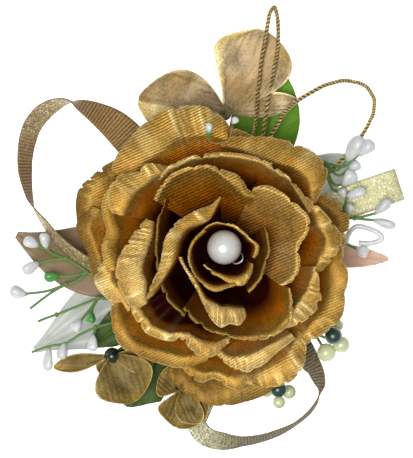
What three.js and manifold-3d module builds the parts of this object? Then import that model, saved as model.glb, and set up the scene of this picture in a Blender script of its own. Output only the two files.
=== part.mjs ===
// Wrist corsage: a layered fabric rose with a pearl centre on a spray of satin, leaves, ribbon,
// cord loops, bud sprays and berries, glued to a felt pad on an elastic wrist band.
// Millimetres, +Z out of the rose. The origin is on the band's inner face, which lies on the wrist.
import * as THREE from 'three';
import { mergeVertices } from 'three/addons/utils/BufferGeometryUtils.js';
import Module from 'manifold-3d';

const wasm = await Module();
wasm.setup();

// Clearances and sheet thicknesses
const clearance = 0.3;
const petalThickness = 0.6;
const leafThickness = 0.6;
const ribbonThickness = 0.5;
const organzaThickness = 0.5;

// Elastic wrist band, relaxed
const bandLoopWidth = 56;
const bandLoopDepth = 38;
const bandCornerRadius = 15;
const bandWidth = 20;
const bandThickness = 1.2;

// Felt backing pad
const padRadius = 26;
const padThickness = 1.6;

// Glue bed: a flat mound that takes the stems at its side and the ribbons on its shoulder
const glueRadius = 16;
const glueHeight = 3.2;
const glueBossRadius = 6;
const glueBossHeight = 3.6;

// Rose
const roseRadius = 40;
const roseHeight = 30;
const roseStemDiameter = 3.2;
const smallestDiscRadius = 3;
const seatRadius = 2.6;
const seatHeight = 2.4;
const pearlShare = 0.25;
const pearlDiameter = pearlShare * roseRadius;
const pearlThreadDiameter = 0.6;
const threadLoopHeight = pearlDiameter / 2;

// Spray of leaves, florets, buds and berries round the rose
const sprayOverhang = 20;
const sprayRadius = roseRadius + sprayOverhang;
const sprayRise = 20;
const leafWidth = 18;
const floretPetalWidth = 24;
const stemDiameter = 1.0;
const budStemDiameter = 0.8;
const budDiameter = 2.6;
const berryDiameter = 5.2;
const cordDiameter = 1.3;
const ribbonWidth = 10;

// Colours
const golden = 0xb98d4a;
const paleGolden = 0xd9b878;
const oliveGolden = 0xa08a58;
const leafGreen = 0x4c8a22;
const darkGreen = 0x2f5a2a;
const wireGreen = 0x7fa860;
const peach = 0xc49a72;
const ivory = 0xe6e6e2;
const paleGreen = 0xbfd09a;
const beadGreen = 0x1f4a38;
const feltWhite = 0xe9e4da;

// Levels, from the wrist up
const padBottom = bandThickness + clearance;
const padTop = padBottom + padThickness;
const glueBottom = padTop + clearance;
const glueShoulder = glueBottom + glueHeight;
const glueTop = glueShoulder + glueBossHeight;
const roseBase = glueTop + clearance;
const layerPitch = petalThickness + clearance;
const discStep = petalThickness + clearance;
const ribbonLevel = glueShoulder + clearance + ribbonThickness / 2;
const leafLevel = padTop + clearance + leafThickness / 2;
const stemLevel = glueBottom + glueHeight / 2;
const buttRadius = glueRadius + clearance;

// Solids
function weld(geometry) {
  const bare = geometry.clone();
  bare.deleteAttribute('normal');
  bare.deleteAttribute('uv');
  const merged = mergeVertices(bare, 1e-4);
  const index = merged.index.array;
  const kept = [];
  for (let i = 0; i < index.length; i += 3) {
    const [a, b, c] = [index[i], index[i + 1], index[i + 2]];
    if (a !== b && b !== c && c !== a) kept.push(a, b, c);
  }
  merged.setIndex(kept);
  return merged;
}

function solid(geometry) {
  const welded = weld(geometry);
  const mesh = new wasm.Mesh({
    numProp: 3,
    vertProperties: new Float32Array(welded.attributes.position.array),
    triVerts: new Uint32Array(welded.index.array),
  });
  mesh.merge();
  return new wasm.Manifold(mesh);
}

function geometryOf(body) {
  const mesh = body.getMesh();
  const geometry = new THREE.BufferGeometry();
  const positions = new Float32Array(mesh.vertProperties);
  geometry.setAttribute('position', new THREE.BufferAttribute(positions, mesh.numProp));
  geometry.setIndex(Array.from(mesh.triVerts));
  return geometry;
}

function joined(geometries) {
  return geometries.map(solid).reduce((whole, next) => whole.add(next));
}

function largest(body) {
  return body.decompose().sort((a, b) => b.volume() - a.volume())[0];
}

const sharpestMitre = 0.6;
const { clamp } = THREE.MathUtils;

// Direction of a curve at a place between two others, and how far a fold there stretches an offset
function passing(before, place, after) {
  const into = place.clone().sub(before).normalize();
  const out = after.clone().sub(place).normalize();
  const direction = into.clone().add(out).normalize();
  const mitre = Math.max(into.dot(direction), out.dot(direction), sharpestMitre);
  return { direction, stretch: 1 / mitre };
}

// Closed sheet of even thickness around a surface(u, v) with u and v from 0 to 1, whose edges grow by margin
function sheet(surface, uSteps, vSteps, thickness, margin = 0) {
  const columns = uSteps + 1;
  const rows = vSteps + 1;
  const positions = [];
  const edge = (k, steps) => (k === steps ? margin : k === 0 ? -margin : 0);
  for (const side of [1, -1]) {
    for (let i = 0; i < columns; i++) {
      for (let j = 0; j < rows; j++) {
        const at = (m, n) => surface(clamp(m, 0, uSteps) / uSteps, clamp(n, 0, vSteps) / vSteps);
        const point = at(i, j);
        const { direction: along } = passing(at(i - 1, j), point, at(i + 1, j));
        const { direction: across, stretch } = passing(at(i, j - 1), point, at(i, j + 1));
        const normal = along.clone().cross(across).normalize();
        point.addScaledVector(normal, (side * thickness * stretch) / 2);
        point.addScaledVector(along, edge(i, uSteps)).addScaledVector(across, edge(j, vSteps));
        positions.push(point.x, point.y, point.z);
      }
    }
  }
  const top = (i, j) => i * rows + j;
  const under = (i, j) => columns * rows + top(i, j);
  const index = [];
  const quad = (a, b, c, d) => index.push(a, b, c, a, c, d);
  for (let i = 0; i < uSteps; i++) {
    for (let j = 0; j < vSteps; j++) {
      quad(top(i, j), top(i + 1, j), top(i + 1, j + 1), top(i, j + 1));
      quad(under(i, j), under(i, j + 1), under(i + 1, j + 1), under(i + 1, j));
    }
    quad(top(i, 0), under(i, 0), under(i + 1, 0), top(i + 1, 0));
    quad(top(i, vSteps), top(i + 1, vSteps), under(i + 1, vSteps), under(i, vSteps));
  }
  for (let j = 0; j < vSteps; j++) {
    quad(top(0, j), top(0, j + 1), under(0, j + 1), under(0, j));
    quad(top(uSteps, j), under(uSteps, j), under(uSteps, j + 1), top(uSteps, j + 1));
  }
  const geometry = new THREE.BufferGeometry();
  geometry.setAttribute('position', new THREE.BufferAttribute(new Float32Array(positions), 3));
  geometry.setIndex(index);
  return geometry;
}

function roundSection(diameter, sides) {
  const corners = [];
  for (let i = 0; i < sides; i++) {
    const turn = (2 * Math.PI * i) / sides;
    corners.push(new THREE.Vector2(Math.cos(turn), Math.sin(turn)).multiplyScalar(diameter / 2));
  }
  return new THREE.Shape(corners);
}

function tube(points, diameter, sides, steps) {
  const path = new THREE.CatmullRomCurve3(points, false, 'centripetal');
  return new THREE.ExtrudeGeometry(roundSection(diameter, sides), { steps, extrudePath: path });
}

function disc(outerRadius, holeRadius, bottom, thickness, segments) {
  const profile = [
    new THREE.Vector2(holeRadius, bottom),
    new THREE.Vector2(outerRadius, bottom),
    new THREE.Vector2(outerRadius, bottom + thickness),
    new THREE.Vector2(holeRadius, bottom + thickness),
    new THREE.Vector2(holeRadius, bottom),
  ];
  return turned(profile, segments);
}

// Lathe about +Z from a profile of radius and height
function turned(profile, segments) {
  return new THREE.LatheGeometry(profile, segments).rotateX(Math.PI / 2);
}

function polar(azimuth, radius, height) {
  const turn = THREE.MathUtils.degToRad(azimuth);
  return new THREE.Vector3(radius * Math.cos(turn), radius * Math.sin(turn), height);
}

// Place in the spray from shares of its radius and its rise above the pad
function sprayPoint([xShare, yShare, zShare]) {
  return new THREE.Vector3(xShare * sprayRadius, yShare * sprayRadius, padTop + zShare * sprayRise);
}

// Place on the rose from shares of its radius and its height
function rosePoint([xShare, yShare, zShare]) {
  return new THREE.Vector3(xShare * roseRadius, yShare * roseRadius, roseBase + zShare * roseHeight);
}

const group = new THREE.Group();

function addMesh(name, geometry, color, roughness, metalness) {
  const material = new THREE.MeshStandardMaterial({ color, roughness, metalness });
  const mesh = new THREE.Mesh(geometry, material);
  mesh.name = name;
  group.add(mesh);
  return mesh;
}

// Elastic band: a rounded loop in the XZ plane, in four runs
const bandSideLength = bandLoopDepth - 2 * bandCornerRadius;
const bandTopHalf = bandLoopWidth / 2 - bandCornerRadius;
const bandSideTop = -bandCornerRadius;
const bandSideBottom = bandSideTop - bandSideLength;
const bandCornerSteps = 7;

function bandRun(firstTurn, centreHeight, endGap) {
  const outline = new THREE.Shape();
  const outer = bandCornerRadius + bandThickness;
  const reach = Math.sign(Math.sin(firstTurn));
  const end = centreHeight + reach * endGap;
  outline.moveTo(bandLoopWidth / 2 + bandThickness, end);
  const arc = (radius, centre, from, to) => {
    for (let i = 0; i <= bandCornerSteps; i++) {
      const turn = from + ((to - from) * i) / bandCornerSteps;
      outline.lineTo(centre + radius * Math.cos(turn), centreHeight + radius * Math.sin(turn));
    }
  };
  const quarter = firstTurn;
  const firstAngle = reach * Math.asin(endGap / outer);
  arc(outer, bandTopHalf, firstAngle, quarter);
  arc(outer, -bandTopHalf, quarter, 2 * quarter - firstAngle);
  const innerAngle = reach * Math.asin(endGap / bandCornerRadius);
  arc(bandCornerRadius, -bandTopHalf, 2 * quarter - innerAngle, quarter);
  arc(bandCornerRadius, bandTopHalf, quarter, innerAngle);
  const run = new THREE.ExtrudeGeometry(outline, { depth: bandWidth, bevelEnabled: false });
  return run.rotateX(Math.PI / 2).translate(0, bandWidth / 2, 0);
}

addMesh('band_top', bandRun(Math.PI / 2, bandSideTop, clearance), golden, 0.8, 0);
addMesh('band_lower', bandRun(-Math.PI / 2, bandSideBottom, 0), golden, 0.8, 0);
const sideHeight = bandSideLength - clearance;
for (const [name, side] of [['band_side_left', -1], ['band_side_right', 1]]) {
  const run = new THREE.BoxGeometry(bandThickness, bandWidth, sideHeight);
  const centre = side * (bandLoopWidth / 2 + bandThickness / 2);
  run.translate(centre, 0, bandSideTop - sideHeight / 2);
  addMesh(name, run, golden, 0.8, 0);
}

// Backing pad
addMesh('backing_pad', new THREE.CylinderGeometry(padRadius, padRadius, padThickness, 40)
  .rotateX(Math.PI / 2).translate(0, 0, padBottom + padThickness / 2), feltWhite, 0.95, 0);

// Glue bed
const glueProfile = [
  new THREE.Vector2(0, glueBottom),
  new THREE.Vector2(glueRadius, glueBottom),
  new THREE.Vector2(glueRadius, glueShoulder),
  new THREE.Vector2(glueBossRadius, glueShoulder),
  new THREE.Vector2(glueBossRadius, glueTop),
  new THREE.Vector2(0, glueTop),
];
addMesh('glue_bed', turned(glueProfile, 36), ivory, 0.4, 0);

// Rose petals. Each row of a rim: azimuth in degrees, then the outer edge's radius, the crest's height
// and the width of the rolled lip, as shares of the rose's radius, height and radius.
// Lean goes from 0, a deep cup, to 1, a straight slope.
const lipDropShare = 0.35;
const lipRiseShare = 0.3;
const outerWallRows = 2;
const innerWallRows = 3;
const lipRows = 1;
const rootGatherShare = 0.4;
const discSides = 12;
const cutSpare = 0.1;
const smallestLipShare = 0.035;
const coilLayers = 2;

// Pulls on a petal's wall curve, as shares of its reach and of its rise: a deep cup and a straight slope
const deepWallShares = { reachLow: 0.6, reachHigh: 0.98, riseLow: 0.02, riseHigh: 0.4 };
const straightWallShares = { reachLow: 0.33, reachHigh: 0.67, riseLow: 0.33, riseHigh: 0.67 };

function mix(a, b, t) {
  return a + (b - a) * t;
}

// Smooth curve through the rim rows, read at t from 0 to 1
function rimAt(rimShares, t) {
  const last = rimShares.length - 1;
  const place = t * last;
  const k = Math.min(Math.floor(place), last - 1);
  const s = place - k;
  const row = (n) => rimShares[Math.min(Math.max(n, 0), last)];
  return rimShares[0].map((_, c) => {
    const [p0, p1, p2, p3] = [row(k - 1)[c], row(k)[c], row(k + 1)[c], row(k + 2)[c]];
    const bend = (2 * p0 - 5 * p1 + 4 * p2 - p3) * s * s + (3 * p1 - p0 - 3 * p2 + p3) * s * s * s;
    return p1 + 0.5 * ((p2 - p0) * s + bend);
  });
}

function bezier(p0, p1, p2, p3, t) {
  const s = 1 - t;
  return s * s * s * p0 + 3 * s * s * t * p1 + 3 * s * t * t * p2 + t * t * t * p3;
}

function discRadius(level) {
  return smallestDiscRadius + (roseLayers.length - 1 - level) * discStep;
}

function petalSurface({ rimShares, lean }, level) {
  const root = roseBase + level * layerPitch + petalThickness / 2;
  const rootRadius = discRadius(level) - petalThickness / 2;
  const middle = (rimShares[0][0] + rimShares[rimShares.length - 1][0]) / 2;
  const { wallRows } = roseLayers[level];
  const wallShare = wallRows / (wallRows + lipRows);
  const pull = (name) => mix(deepWallShares[name], straightWallShares[name], lean);
  return (u, v) => {
    const [azimuth, radiusShare, heightShare, lipShare] = rimAt(rimShares, u);
    const lip = Math.max(lipShare, smallestLipShare) * roseRadius;
    const crestRadius = radiusShare * roseRadius - lip;
    const crest = roseBase + heightShare * roseHeight;
    const rise = crest - root;
    const reach = crestRadius - rootRadius;
    let radius;
    let height;
    if (v <= wallShare) {
      const t = v / wallShare;
      const r1 = rootRadius + reach * pull('reachLow');
      const r2 = rootRadius + reach * pull('reachHigh');
      const z1 = root + rise * pull('riseLow');
      const z2 = root + rise * pull('riseHigh');
      radius = bezier(rootRadius, r1, r2, crestRadius, t);
      height = bezier(root, z1, z2, crest, t);
    } else {
      const t = (v - wallShare) / (1 - wallShare);
      radius = crestRadius + lip * t;
      height = crest + lip * (lipRiseShare * 4 * t * (1 - t) - lipDropShare * t * t);
    }
    const spread = mix(rootGatherShare, 1, Math.min(v / wallShare, 1));
    return polar(middle + (azimuth - middle) * spread, radius, height);
  };
}

const roseLayers = [
  {
    name: 'rose_layer_outermost',
    wallRows: outerWallRows,
    petals: [
      { lean: 0.3, rimShares: [[128, 1.0, 0.2, 0.1], [139, 1.03, 0.22, 0.1], [151, 1.1, 0.22, 0.1],
        [159, 1.155, 0.2, 0.12], [168, 1.12, 0.18, 0.12], [178, 1.05, 0.16, 0.1]] },
      { lean: 0.3, rimShares: [[163, 1.02, 0.22, 0.08], [171, 1.1, 0.24, 0.1], [179, 1.05, 0.24, 0.1],
        [186, 1.0, 0.22, 0.1], [196, 1.0, 0.22, 0.1], [208, 0.95, 0.2, 0.08]] },
      { lean: 0.3, rimShares: [[198, 0.94, 0.18, 0.08], [210, 0.92, 0.2, 0.1], [222, 0.94, 0.2, 0.1],
        [236, 0.92, 0.2, 0.1], [250, 0.95, 0.18, 0.1]] },
      { lean: 0.3, rimShares: [[246, 1.04, 0.16, 0.08], [256, 1.13, 0.18, 0.1], [266, 1.18, 0.18, 0.12],
        [276, 1.165, 0.18, 0.12], [287, 1.13, 0.18, 0.1], [297, 1.02, 0.18, 0.08]] },
      { lean: 0.3, rimShares: [[292, 1.0, 0.2, 0.08], [306, 0.96, 0.22, 0.1], [322, 0.92, 0.22, 0.1],
        [338, 0.9, 0.22, 0.1], [354, 0.88, 0.2, 0.08]] },
      { lean: 0.3, rimShares: [[-10, 0.86, 0.2, 0.06], [2, 0.9, 0.22, 0.08], [13, 0.945, 0.24, 0.1],
        [22, 0.89, 0.22, 0.1], [32, 0.76, 0.2, 0.06]] },
      { lean: 0.3, rimShares: [[28, 0.8, 0.18, 0.06], [46, 0.84, 0.2, 0.08], [64, 0.82, 0.2, 0.08],
        [80, 0.86, 0.22, 0.08], [92, 0.91, 0.24, 0.1], [104, 0.86, 0.22, 0.08], [124, 0.9, 0.2, 0.06]] },
    ],
  },
  {
    name: 'rose_layer_second',
    wallRows: outerWallRows,
    petals: [
      { lean: 0.2, rimShares: [[88, 0.9, 0.42, 0.14], [97, 1.03, 0.44, 0.2], [110, 1.09, 0.46, 0.24],
        [122, 1.08, 0.46, 0.24], [134, 1.05, 0.44, 0.2], [146, 1.01, 0.42, 0.12]] },
      { lean: 0.2, rimShares: [[140, 0.88, 0.4, 0.06], [150, 0.94, 0.42, 0.1], [161, 0.95, 0.42, 0.1],
        [172, 0.87, 0.44, 0.1], [180, 0.9, 0.44, 0.1], [192, 0.88, 0.42, 0.08]] },
      { lean: 0.2, rimShares: [[184, 0.86, 0.4, 0.06], [194, 0.98, 0.4, 0.12], [204, 0.94, 0.4, 0.12],
        [214, 0.9, 0.38, 0.08]] },
      { lean: 0.2, rimShares: [[208, 0.94, 0.42, 0.06], [217, 1.02, 0.44, 0.1], [226, 1.05, 0.44, 0.1],
        [238, 0.99, 0.44, 0.1], [250, 0.94, 0.44, 0.1], [262, 0.84, 0.42, 0.06]] },
      { lean: 0.2, rimShares: [[250, 0.93, 0.38, 0.05], [260, 1.01, 0.4, 0.08], [266, 0.97, 0.4, 0.06],
        [274, 1.05, 0.4, 0.1], [284, 0.98, 0.4, 0.06]] },
      { lean: 0.2, rimShares: [[278, 1.0, 0.42, 0.06], [286, 1.07, 0.44, 0.12], [296, 1.1, 0.46, 0.18],
        [304, 1.04, 0.46, 0.16], [312, 0.9, 0.44, 0.08]] },
      { lean: 0.2, rimShares: [[306, 0.9, 0.44, 0.06], [318, 0.96, 0.48, 0.12], [329, 1.0, 0.48, 0.14],
        [338, 0.95, 0.48, 0.14], [347, 0.93, 0.48, 0.14], [358, 0.88, 0.46, 0.1], [367, 0.84, 0.42, 0.06]] },
      { lean: 0.2, rimShares: [[26, 0.74, 0.46, 0.06], [36, 0.93, 0.5, 0.16], [47, 0.95, 0.5, 0.18],
        [58, 0.91, 0.5, 0.18], [70, 0.86, 0.48, 0.16], [82, 0.82, 0.46, 0.1], [92, 0.78, 0.42, 0.05]] },
    ],
  },
  {
    name: 'rose_layer_third',
    wallRows: outerWallRows,
    petals: [
      { lean: 0.15, rimShares: [[60, 0.7, 0.66, 0.03], [76, 0.69, 0.68, 0.03], [92, 0.69, 0.68, 0.03],
        [108, 0.7, 0.68, 0.04], [122, 0.71, 0.66, 0.04], [134, 0.72, 0.62, 0.03]] },
      { lean: 0.15, rimShares: [[124, 0.7, 0.6, 0.05], [132, 0.82, 0.62, 0.12], [139, 0.84, 0.62, 0.12],
        [146, 0.93, 0.62, 0.18], [155, 0.93, 0.6, 0.18], [163, 0.86, 0.58, 0.1]] },
      { lean: 0.1, rimShares: [[160, 0.6, 0.66, 0.06], [168, 0.65, 0.68, 0.12], [177, 0.7, 0.7, 0.16],
        [186, 0.77, 0.7, 0.2], [196, 0.82, 0.7, 0.2], [206, 0.81, 0.68, 0.18], [216, 0.8, 0.66, 0.12]] },
      { lean: 0.1, rimShares: [[206, 0.8, 0.62, 0.05], [216, 0.82, 0.64, 0.07], [228, 0.84, 0.64, 0.07],
        [238, 0.8, 0.64, 0.07], [247, 0.75, 0.64, 0.07], [256, 0.81, 0.64, 0.12], [265, 0.79, 0.62, 0.1],
        [274, 0.68, 0.6, 0.04]] },
      { lean: 0.15, rimShares: [[266, 0.78, 0.56, 0.05], [273, 0.87, 0.58, 0.08], [281, 0.925, 0.6, 0.12],
        [289, 0.9, 0.6, 0.1], [298, 0.86, 0.6, 0.06], [308, 0.84, 0.58, 0.05]] },
      { lean: 0.15, rimShares: [[303, 0.72, 0.62, 0.05], [311, 0.76, 0.66, 0.1], [321, 0.8, 0.68, 0.14],
        [330, 0.81, 0.68, 0.14], [338, 0.74, 0.66, 0.08], [348, 0.7, 0.64, 0.05]] },
      { lean: 0.2, rimShares: [[342, 0.7, 0.58, 0.04], [354, 0.8, 0.6, 0.1], [364, 0.86, 0.62, 0.12],
        [373, 0.81, 0.62, 0.12], [381, 0.76, 0.6, 0.08], [392, 0.7, 0.58, 0.05]] },
      { lean: 0.2, rimShares: [[22, 0.69, 0.62, 0.03], [36, 0.69, 0.64, 0.03], [50, 0.69, 0.66, 0.03],
        [66, 0.7, 0.66, 0.03]] },
    ],
  },
  {
    name: 'rose_layer_fourth',
    wallRows: innerWallRows,
    petals: [
      { lean: 0.45, rimShares: [[-34, 0.5, 0.84, 0.02], [-24, 0.56, 0.86, 0.03], [-12, 0.56, 0.88, 0.03],
        [0, 0.54, 0.9, 0.03], [8, 0.59, 0.92, 0.03], [17, 0.64, 0.92, 0.03], [29, 0.61, 0.92, 0.03],
        [43, 0.575, 0.9, 0.03], [55, 0.54, 0.88, 0.03], [64, 0.48, 0.84, 0.02]] },
      { lean: 0.25, rimShares: [[58, 0.44, 0.82, 0.03], [68, 0.45, 0.84, 0.05], [78, 0.52, 0.84, 0.1],
        [88, 0.55, 0.84, 0.06], [100, 0.6, 0.84, 0.03], [114, 0.635, 0.84, 0.03], [130, 0.65, 0.82, 0.03],
        [146, 0.62, 0.8, 0.02]] },
      { lean: 0.1, rimShares: [[140, 0.56, 0.74, 0.02], [160, 0.52, 0.74, 0.02], [180, 0.5, 0.74, 0.02],
        [200, 0.52, 0.74, 0.02], [220, 0.56, 0.74, 0.02], [240, 0.58, 0.74, 0.02]] },
      { lean: 0.3, rimShares: [[236, 0.54, 0.7, 0.02], [254, 0.6, 0.72, 0.02], [270, 0.64, 0.74, 0.02],
        [284, 0.69, 0.76, 0.03], [298, 0.73, 0.78, 0.04], [310, 0.73, 0.8, 0.04], [318, 0.66, 0.82, 0.03],
        [328, 0.56, 0.82, 0.02]] },
    ],
  },
  {
    name: 'rose_inner_petals',
    wallRows: innerWallRows,
    petals: [
      { lean: 0.1, rimShares: [[94, 0.37, 0.9, 0.02], [108, 0.32, 0.93, 0.06], [124, 0.335, 0.96, 0.1],
        [140, 0.355, 0.98, 0.1], [156, 0.4, 1, 0.1], [172, 0.43, 1, 0.1], [186, 0.45, 1, 0.1],
        [198, 0.5, 0.98, 0.1], [208, 0.6, 0.94, 0.1], [214, 0.68, 0.88, 0.06]] },
      { lean: 0.15, rimShares: [[192, 0.34, 0.84, 0.02], [208, 0.33, 0.86, 0.02], [224, 0.34, 0.88, 0.03],
        [238, 0.37, 0.9, 0.03], [250, 0.44, 0.92, 0.05], [260, 0.53, 0.94, 0.12], [267, 0.57, 0.94, 0.14],
        [274, 0.55, 0.93, 0.12], [281, 0.57, 0.92, 0.12], [288, 0.52, 0.88, 0.05]] },
      { lean: 0.3, rimShares: [[-62, 0.38, 0.8, 0.02], [-44, 0.36, 0.82, 0.02], [-26, 0.33, 0.82, 0.02],
        [-8, 0.33, 0.82, 0.02], [10, 0.325, 0.82, 0.02], [26, 0.335, 0.82, 0.02]] },
    ],
  },
  {
    name: 'rose_coil_outer',
    wallRows: innerWallRows,
    petals: [
      { lean: 0, rimShares: [[138, 0.2, 0.76, 0.015], [158, 0.225, 0.78, 0.02], [178, 0.25, 0.8, 0.02],
        [198, 0.275, 0.8, 0.02], [218, 0.29, 0.8, 0.02], [238, 0.31, 0.8, 0.03], [256, 0.325, 0.8, 0.04],
        [272, 0.3, 0.78, 0.03], [286, 0.29, 0.76, 0.02]] },
    ],
  },
  {
    name: 'rose_coil_inner',
    wallRows: innerWallRows,
    petals: [
      { lean: 0, rimShares: [[-20, 0.24, 0.76, 0.03], [2, 0.25, 0.78, 0.03], [18, 0.2, 0.78, 0.02],
        [45, 0.18, 0.78, 0.01], [69, 0.183, 0.78, 0.01], [92, 0.185, 0.78, 0.01], [119, 0.195, 0.76, 0.01],
        [150, 0.2, 0.72, 0.01]] },
      { lean: 0, rimShares: [[-140, 0.2, 0.7, 0.01], [-118, 0.21, 0.72, 0.02], [-96, 0.23, 0.74, 0.03],
        [-78, 0.28, 0.74, 0.06], [-62, 0.31, 0.74, 0.07], [-46, 0.28, 0.74, 0.04], [-30, 0.24, 0.72, 0.02]] },
    ],
  },
];

function roseLayer(layer, level, thickness) {
  const spare = (thickness - petalThickness) / 2;
  const petals = layer.petals.map((petal) => {
    const surface = petalSurface(petal, level);
    return sheet(surface, petal.rimShares.length - 1, layer.wallRows + lipRows, thickness, spare);
  });
  const bottom = roseBase + level * layerPitch - spare;
  const hole = roseStemDiameter / 2 + clearance - spare;
  petals.push(disc(discRadius(level) + spare, hole, bottom, thickness, discSides));
  return joined(petals);
}

const fatThickness = petalThickness + 2 * (clearance + cutSpare);
let inner = null;
for (let level = roseLayers.length - 1; level >= 0; level--) {
  const layer = roseLayers[level];
  let body = roseLayer(layer, level, petalThickness);
  if (inner) body = largest(body.subtract(inner));
  const tone = level < roseLayers.length - coilLayers ? golden : paleGolden;
  addMesh(layer.name, geometryOf(body), tone, 0.55, 0.15);
  const fat = roseLayer(layer, level, fatThickness);
  inner = inner ? inner.add(fat) : fat;
}

// Rose stem, pearl and its thread
const pearlHeightShare = 0.68;
const pearlCentre = roseBase + pearlHeightShare * roseHeight;
const stemRadius = roseStemDiameter / 2;
const seatTop = pearlCentre - pearlDiameter / 2 - clearance;
const roseStemProfile = [
  new THREE.Vector2(0, roseBase),
  new THREE.Vector2(stemRadius, roseBase),
  new THREE.Vector2(stemRadius, seatTop - seatHeight),
  new THREE.Vector2(seatRadius, seatTop),
  new THREE.Vector2(0, seatTop),
];
addMesh('rose_stem', turned(roseStemProfile, 12), leafGreen, 0.6, 0);
addMesh('pearl', new THREE.SphereGeometry(pearlDiameter / 2, 16, 12)
  .translate(0, 0, pearlCentre), ivory, 0.15, 0.1);

const threadSides = 5;
const threadSteps = 16;
const threadStart = seatTop - seatHeight - pearlThreadDiameter;
const threadSide = stemRadius + clearance + pearlThreadDiameter / 2;
const threadReach = pearlDiameter / 2 + clearance + pearlThreadDiameter;
const threadPoints = [
  polar(-62, threadSide, threadStart),
  polar(-60, threadSide + threadLoopHeight / 2, threadStart),
  polar(-55, threadReach, threadStart + threadLoopHeight / 2),
  polar(-38, threadReach + pearlThreadDiameter, threadStart + threadLoopHeight),
  polar(-24, threadReach, threadStart + threadLoopHeight / 2),
  polar(-20, threadSide + threadLoopHeight / 2, threadStart),
  polar(-18, threadSide, threadStart),
];
addMesh('pearl_thread', tube(threadPoints, pearlThreadDiameter, threadSides, threadSteps), ivory, 0.2, 0);

// Leaves, satin pieces and organza: a blade with a bent centre line from root to tip
const bladeEndShare = 0.1;
const bladeFullness = 0.8;
const toothShare = 0.12;
const pleatShare = 0.12;
const bladeSteps = 8;

function bladeSurface({ root, tip, width, widestShare = 0.5, bowShare = 0, archShare = 0, cupShare = 0,
  fullness = bladeFullness, teeth = 0, pleats = 0 }) {
  const length = root.distanceTo(tip);
  const forward = tip.clone().sub(root).setZ(0).normalize();
  const side = new THREE.Vector3(-forward.y, forward.x, 0);
  const bend = root.clone().add(tip).multiplyScalar(0.5);
  bend.addScaledVector(side, bowShare * length);
  bend.z += archShare * length;
  const centre = new THREE.QuadraticBezierCurve3(root, bend, tip);
  const power = -Math.LN2 / Math.log(widestShare);
  return (u, v) => {
    const tangent = centre.getTangent(u);
    const across = new THREE.Vector3(-tangent.y, tangent.x, 0).normalize();
    const belly = mix(bladeEndShare, 1, Math.sin(Math.PI * u ** power) ** fullness);
    const notch = teeth ? toothShare * Math.abs(Math.sin(Math.PI * teeth * u)) : 0;
    const half = (width / 2) * belly * (1 - notch);
    const s = 2 * v - 1;
    const pleat = pleats ? pleatShare * (1 + Math.cos(Math.PI * pleats * s)) : 0;
    const lift = half * (cupShare * s * s + pleat);
    const point = centre.getPoint(u).addScaledVector(across, half * s);
    point.z += lift;
    return point;
  };
}

function blade(shape, thickness, acrossSteps = 2, alongSteps = bladeSteps) {
  return sheet(bladeSurface(shape), alongSteps, acrossSteps, thickness);
}

function butt(azimuth, level) {
  return polar(azimuth, buttRadius, level);
}

const leaves = [
  { name: 'green_leaf_top', color: leafGreen, azimuth: 68, tipShares: [0.255, 0.907, 0.36],
    width: 1.15 * leafWidth, widestShare: 0.55, bowShare: -0.06, archShare: -0.03, cupShare: -0.1 },
  { name: 'green_leaf_left', color: darkGreen, azimuth: 221, tipShares: [-0.65, -0.49, 0.26],
    width: 0.62 * leafWidth, widestShare: 0.62, archShare: 0.055, cupShare: -0.1 },
  { name: 'green_leaf_serrated', color: darkGreen, azimuth: 238, tipShares: [-0.5, -0.79, 0.16],
    width: 1.15 * leafWidth, widestShare: 0.7, cupShare: -0.1, teeth: 6, steps: 12 },
  { name: 'satin_leaf_left', color: peach, azimuth: 186, tipShares: [-1.036, 0.061, 0.1],
    width: 1.2 * leafWidth, widestShare: 0.45, bowShare: 0.22, archShare: 0.045, cupShare: 0.1,
    fullness: 1.1 },
  { name: 'satin_leaf_right', color: peach, azimuth: -4, tipShares: [0.823, -0.063, 0.2],
    width: 0.4 * leafWidth, widestShare: 0.55, cupShare: 0.1 },
];
for (const { name, color, azimuth, tipShares, steps, ...shape } of leaves) {
  const root = butt(azimuth, leafLevel);
  const geometry = blade({ root, tip: sprayPoint(tipShares), ...shape }, leafThickness, 2, steps);
  addMesh(name, geometry, color, 0.6, 0);
}

const organzaLevel = padTop + clearance + organzaThickness / 2;
const organza = [
  { name: 'organza_left', azimuth: 208, tipShares: [-0.95, -0.52, -0.05], width: 1.2 * leafWidth,
    widestShare: 0.45, fullness: 1.3, pleats: 3 },
  { name: 'organza_right', azimuth: 38, tipShares: [0.63, 0.45, 0.08], width: 0.7 * leafWidth,
    widestShare: 0.6, pleats: 2 },
];
for (const { name, azimuth, tipShares, ...shape } of organza) {
  const root = butt(azimuth, organzaLevel);
  addMesh(name, blade({ root, tip: sprayPoint(tipShares), ...shape }, organzaThickness, 4), ivory, 0.3, 0);
}

// Satin florets: petals cut as one piece round a small hub, each on its own stem
const floretHubRadius = 2.4;
const floretPetalSteps = 5;
const stemRiseShare = 0.3;
const stemBendShare = 0.15;
const stemSides = 5;
const stemSteps = 6;

function berry(place, diameter) {
  return new THREE.IcosahedronGeometry(diameter / 2, 1).translate(place.x, place.y, place.z);
}

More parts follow.
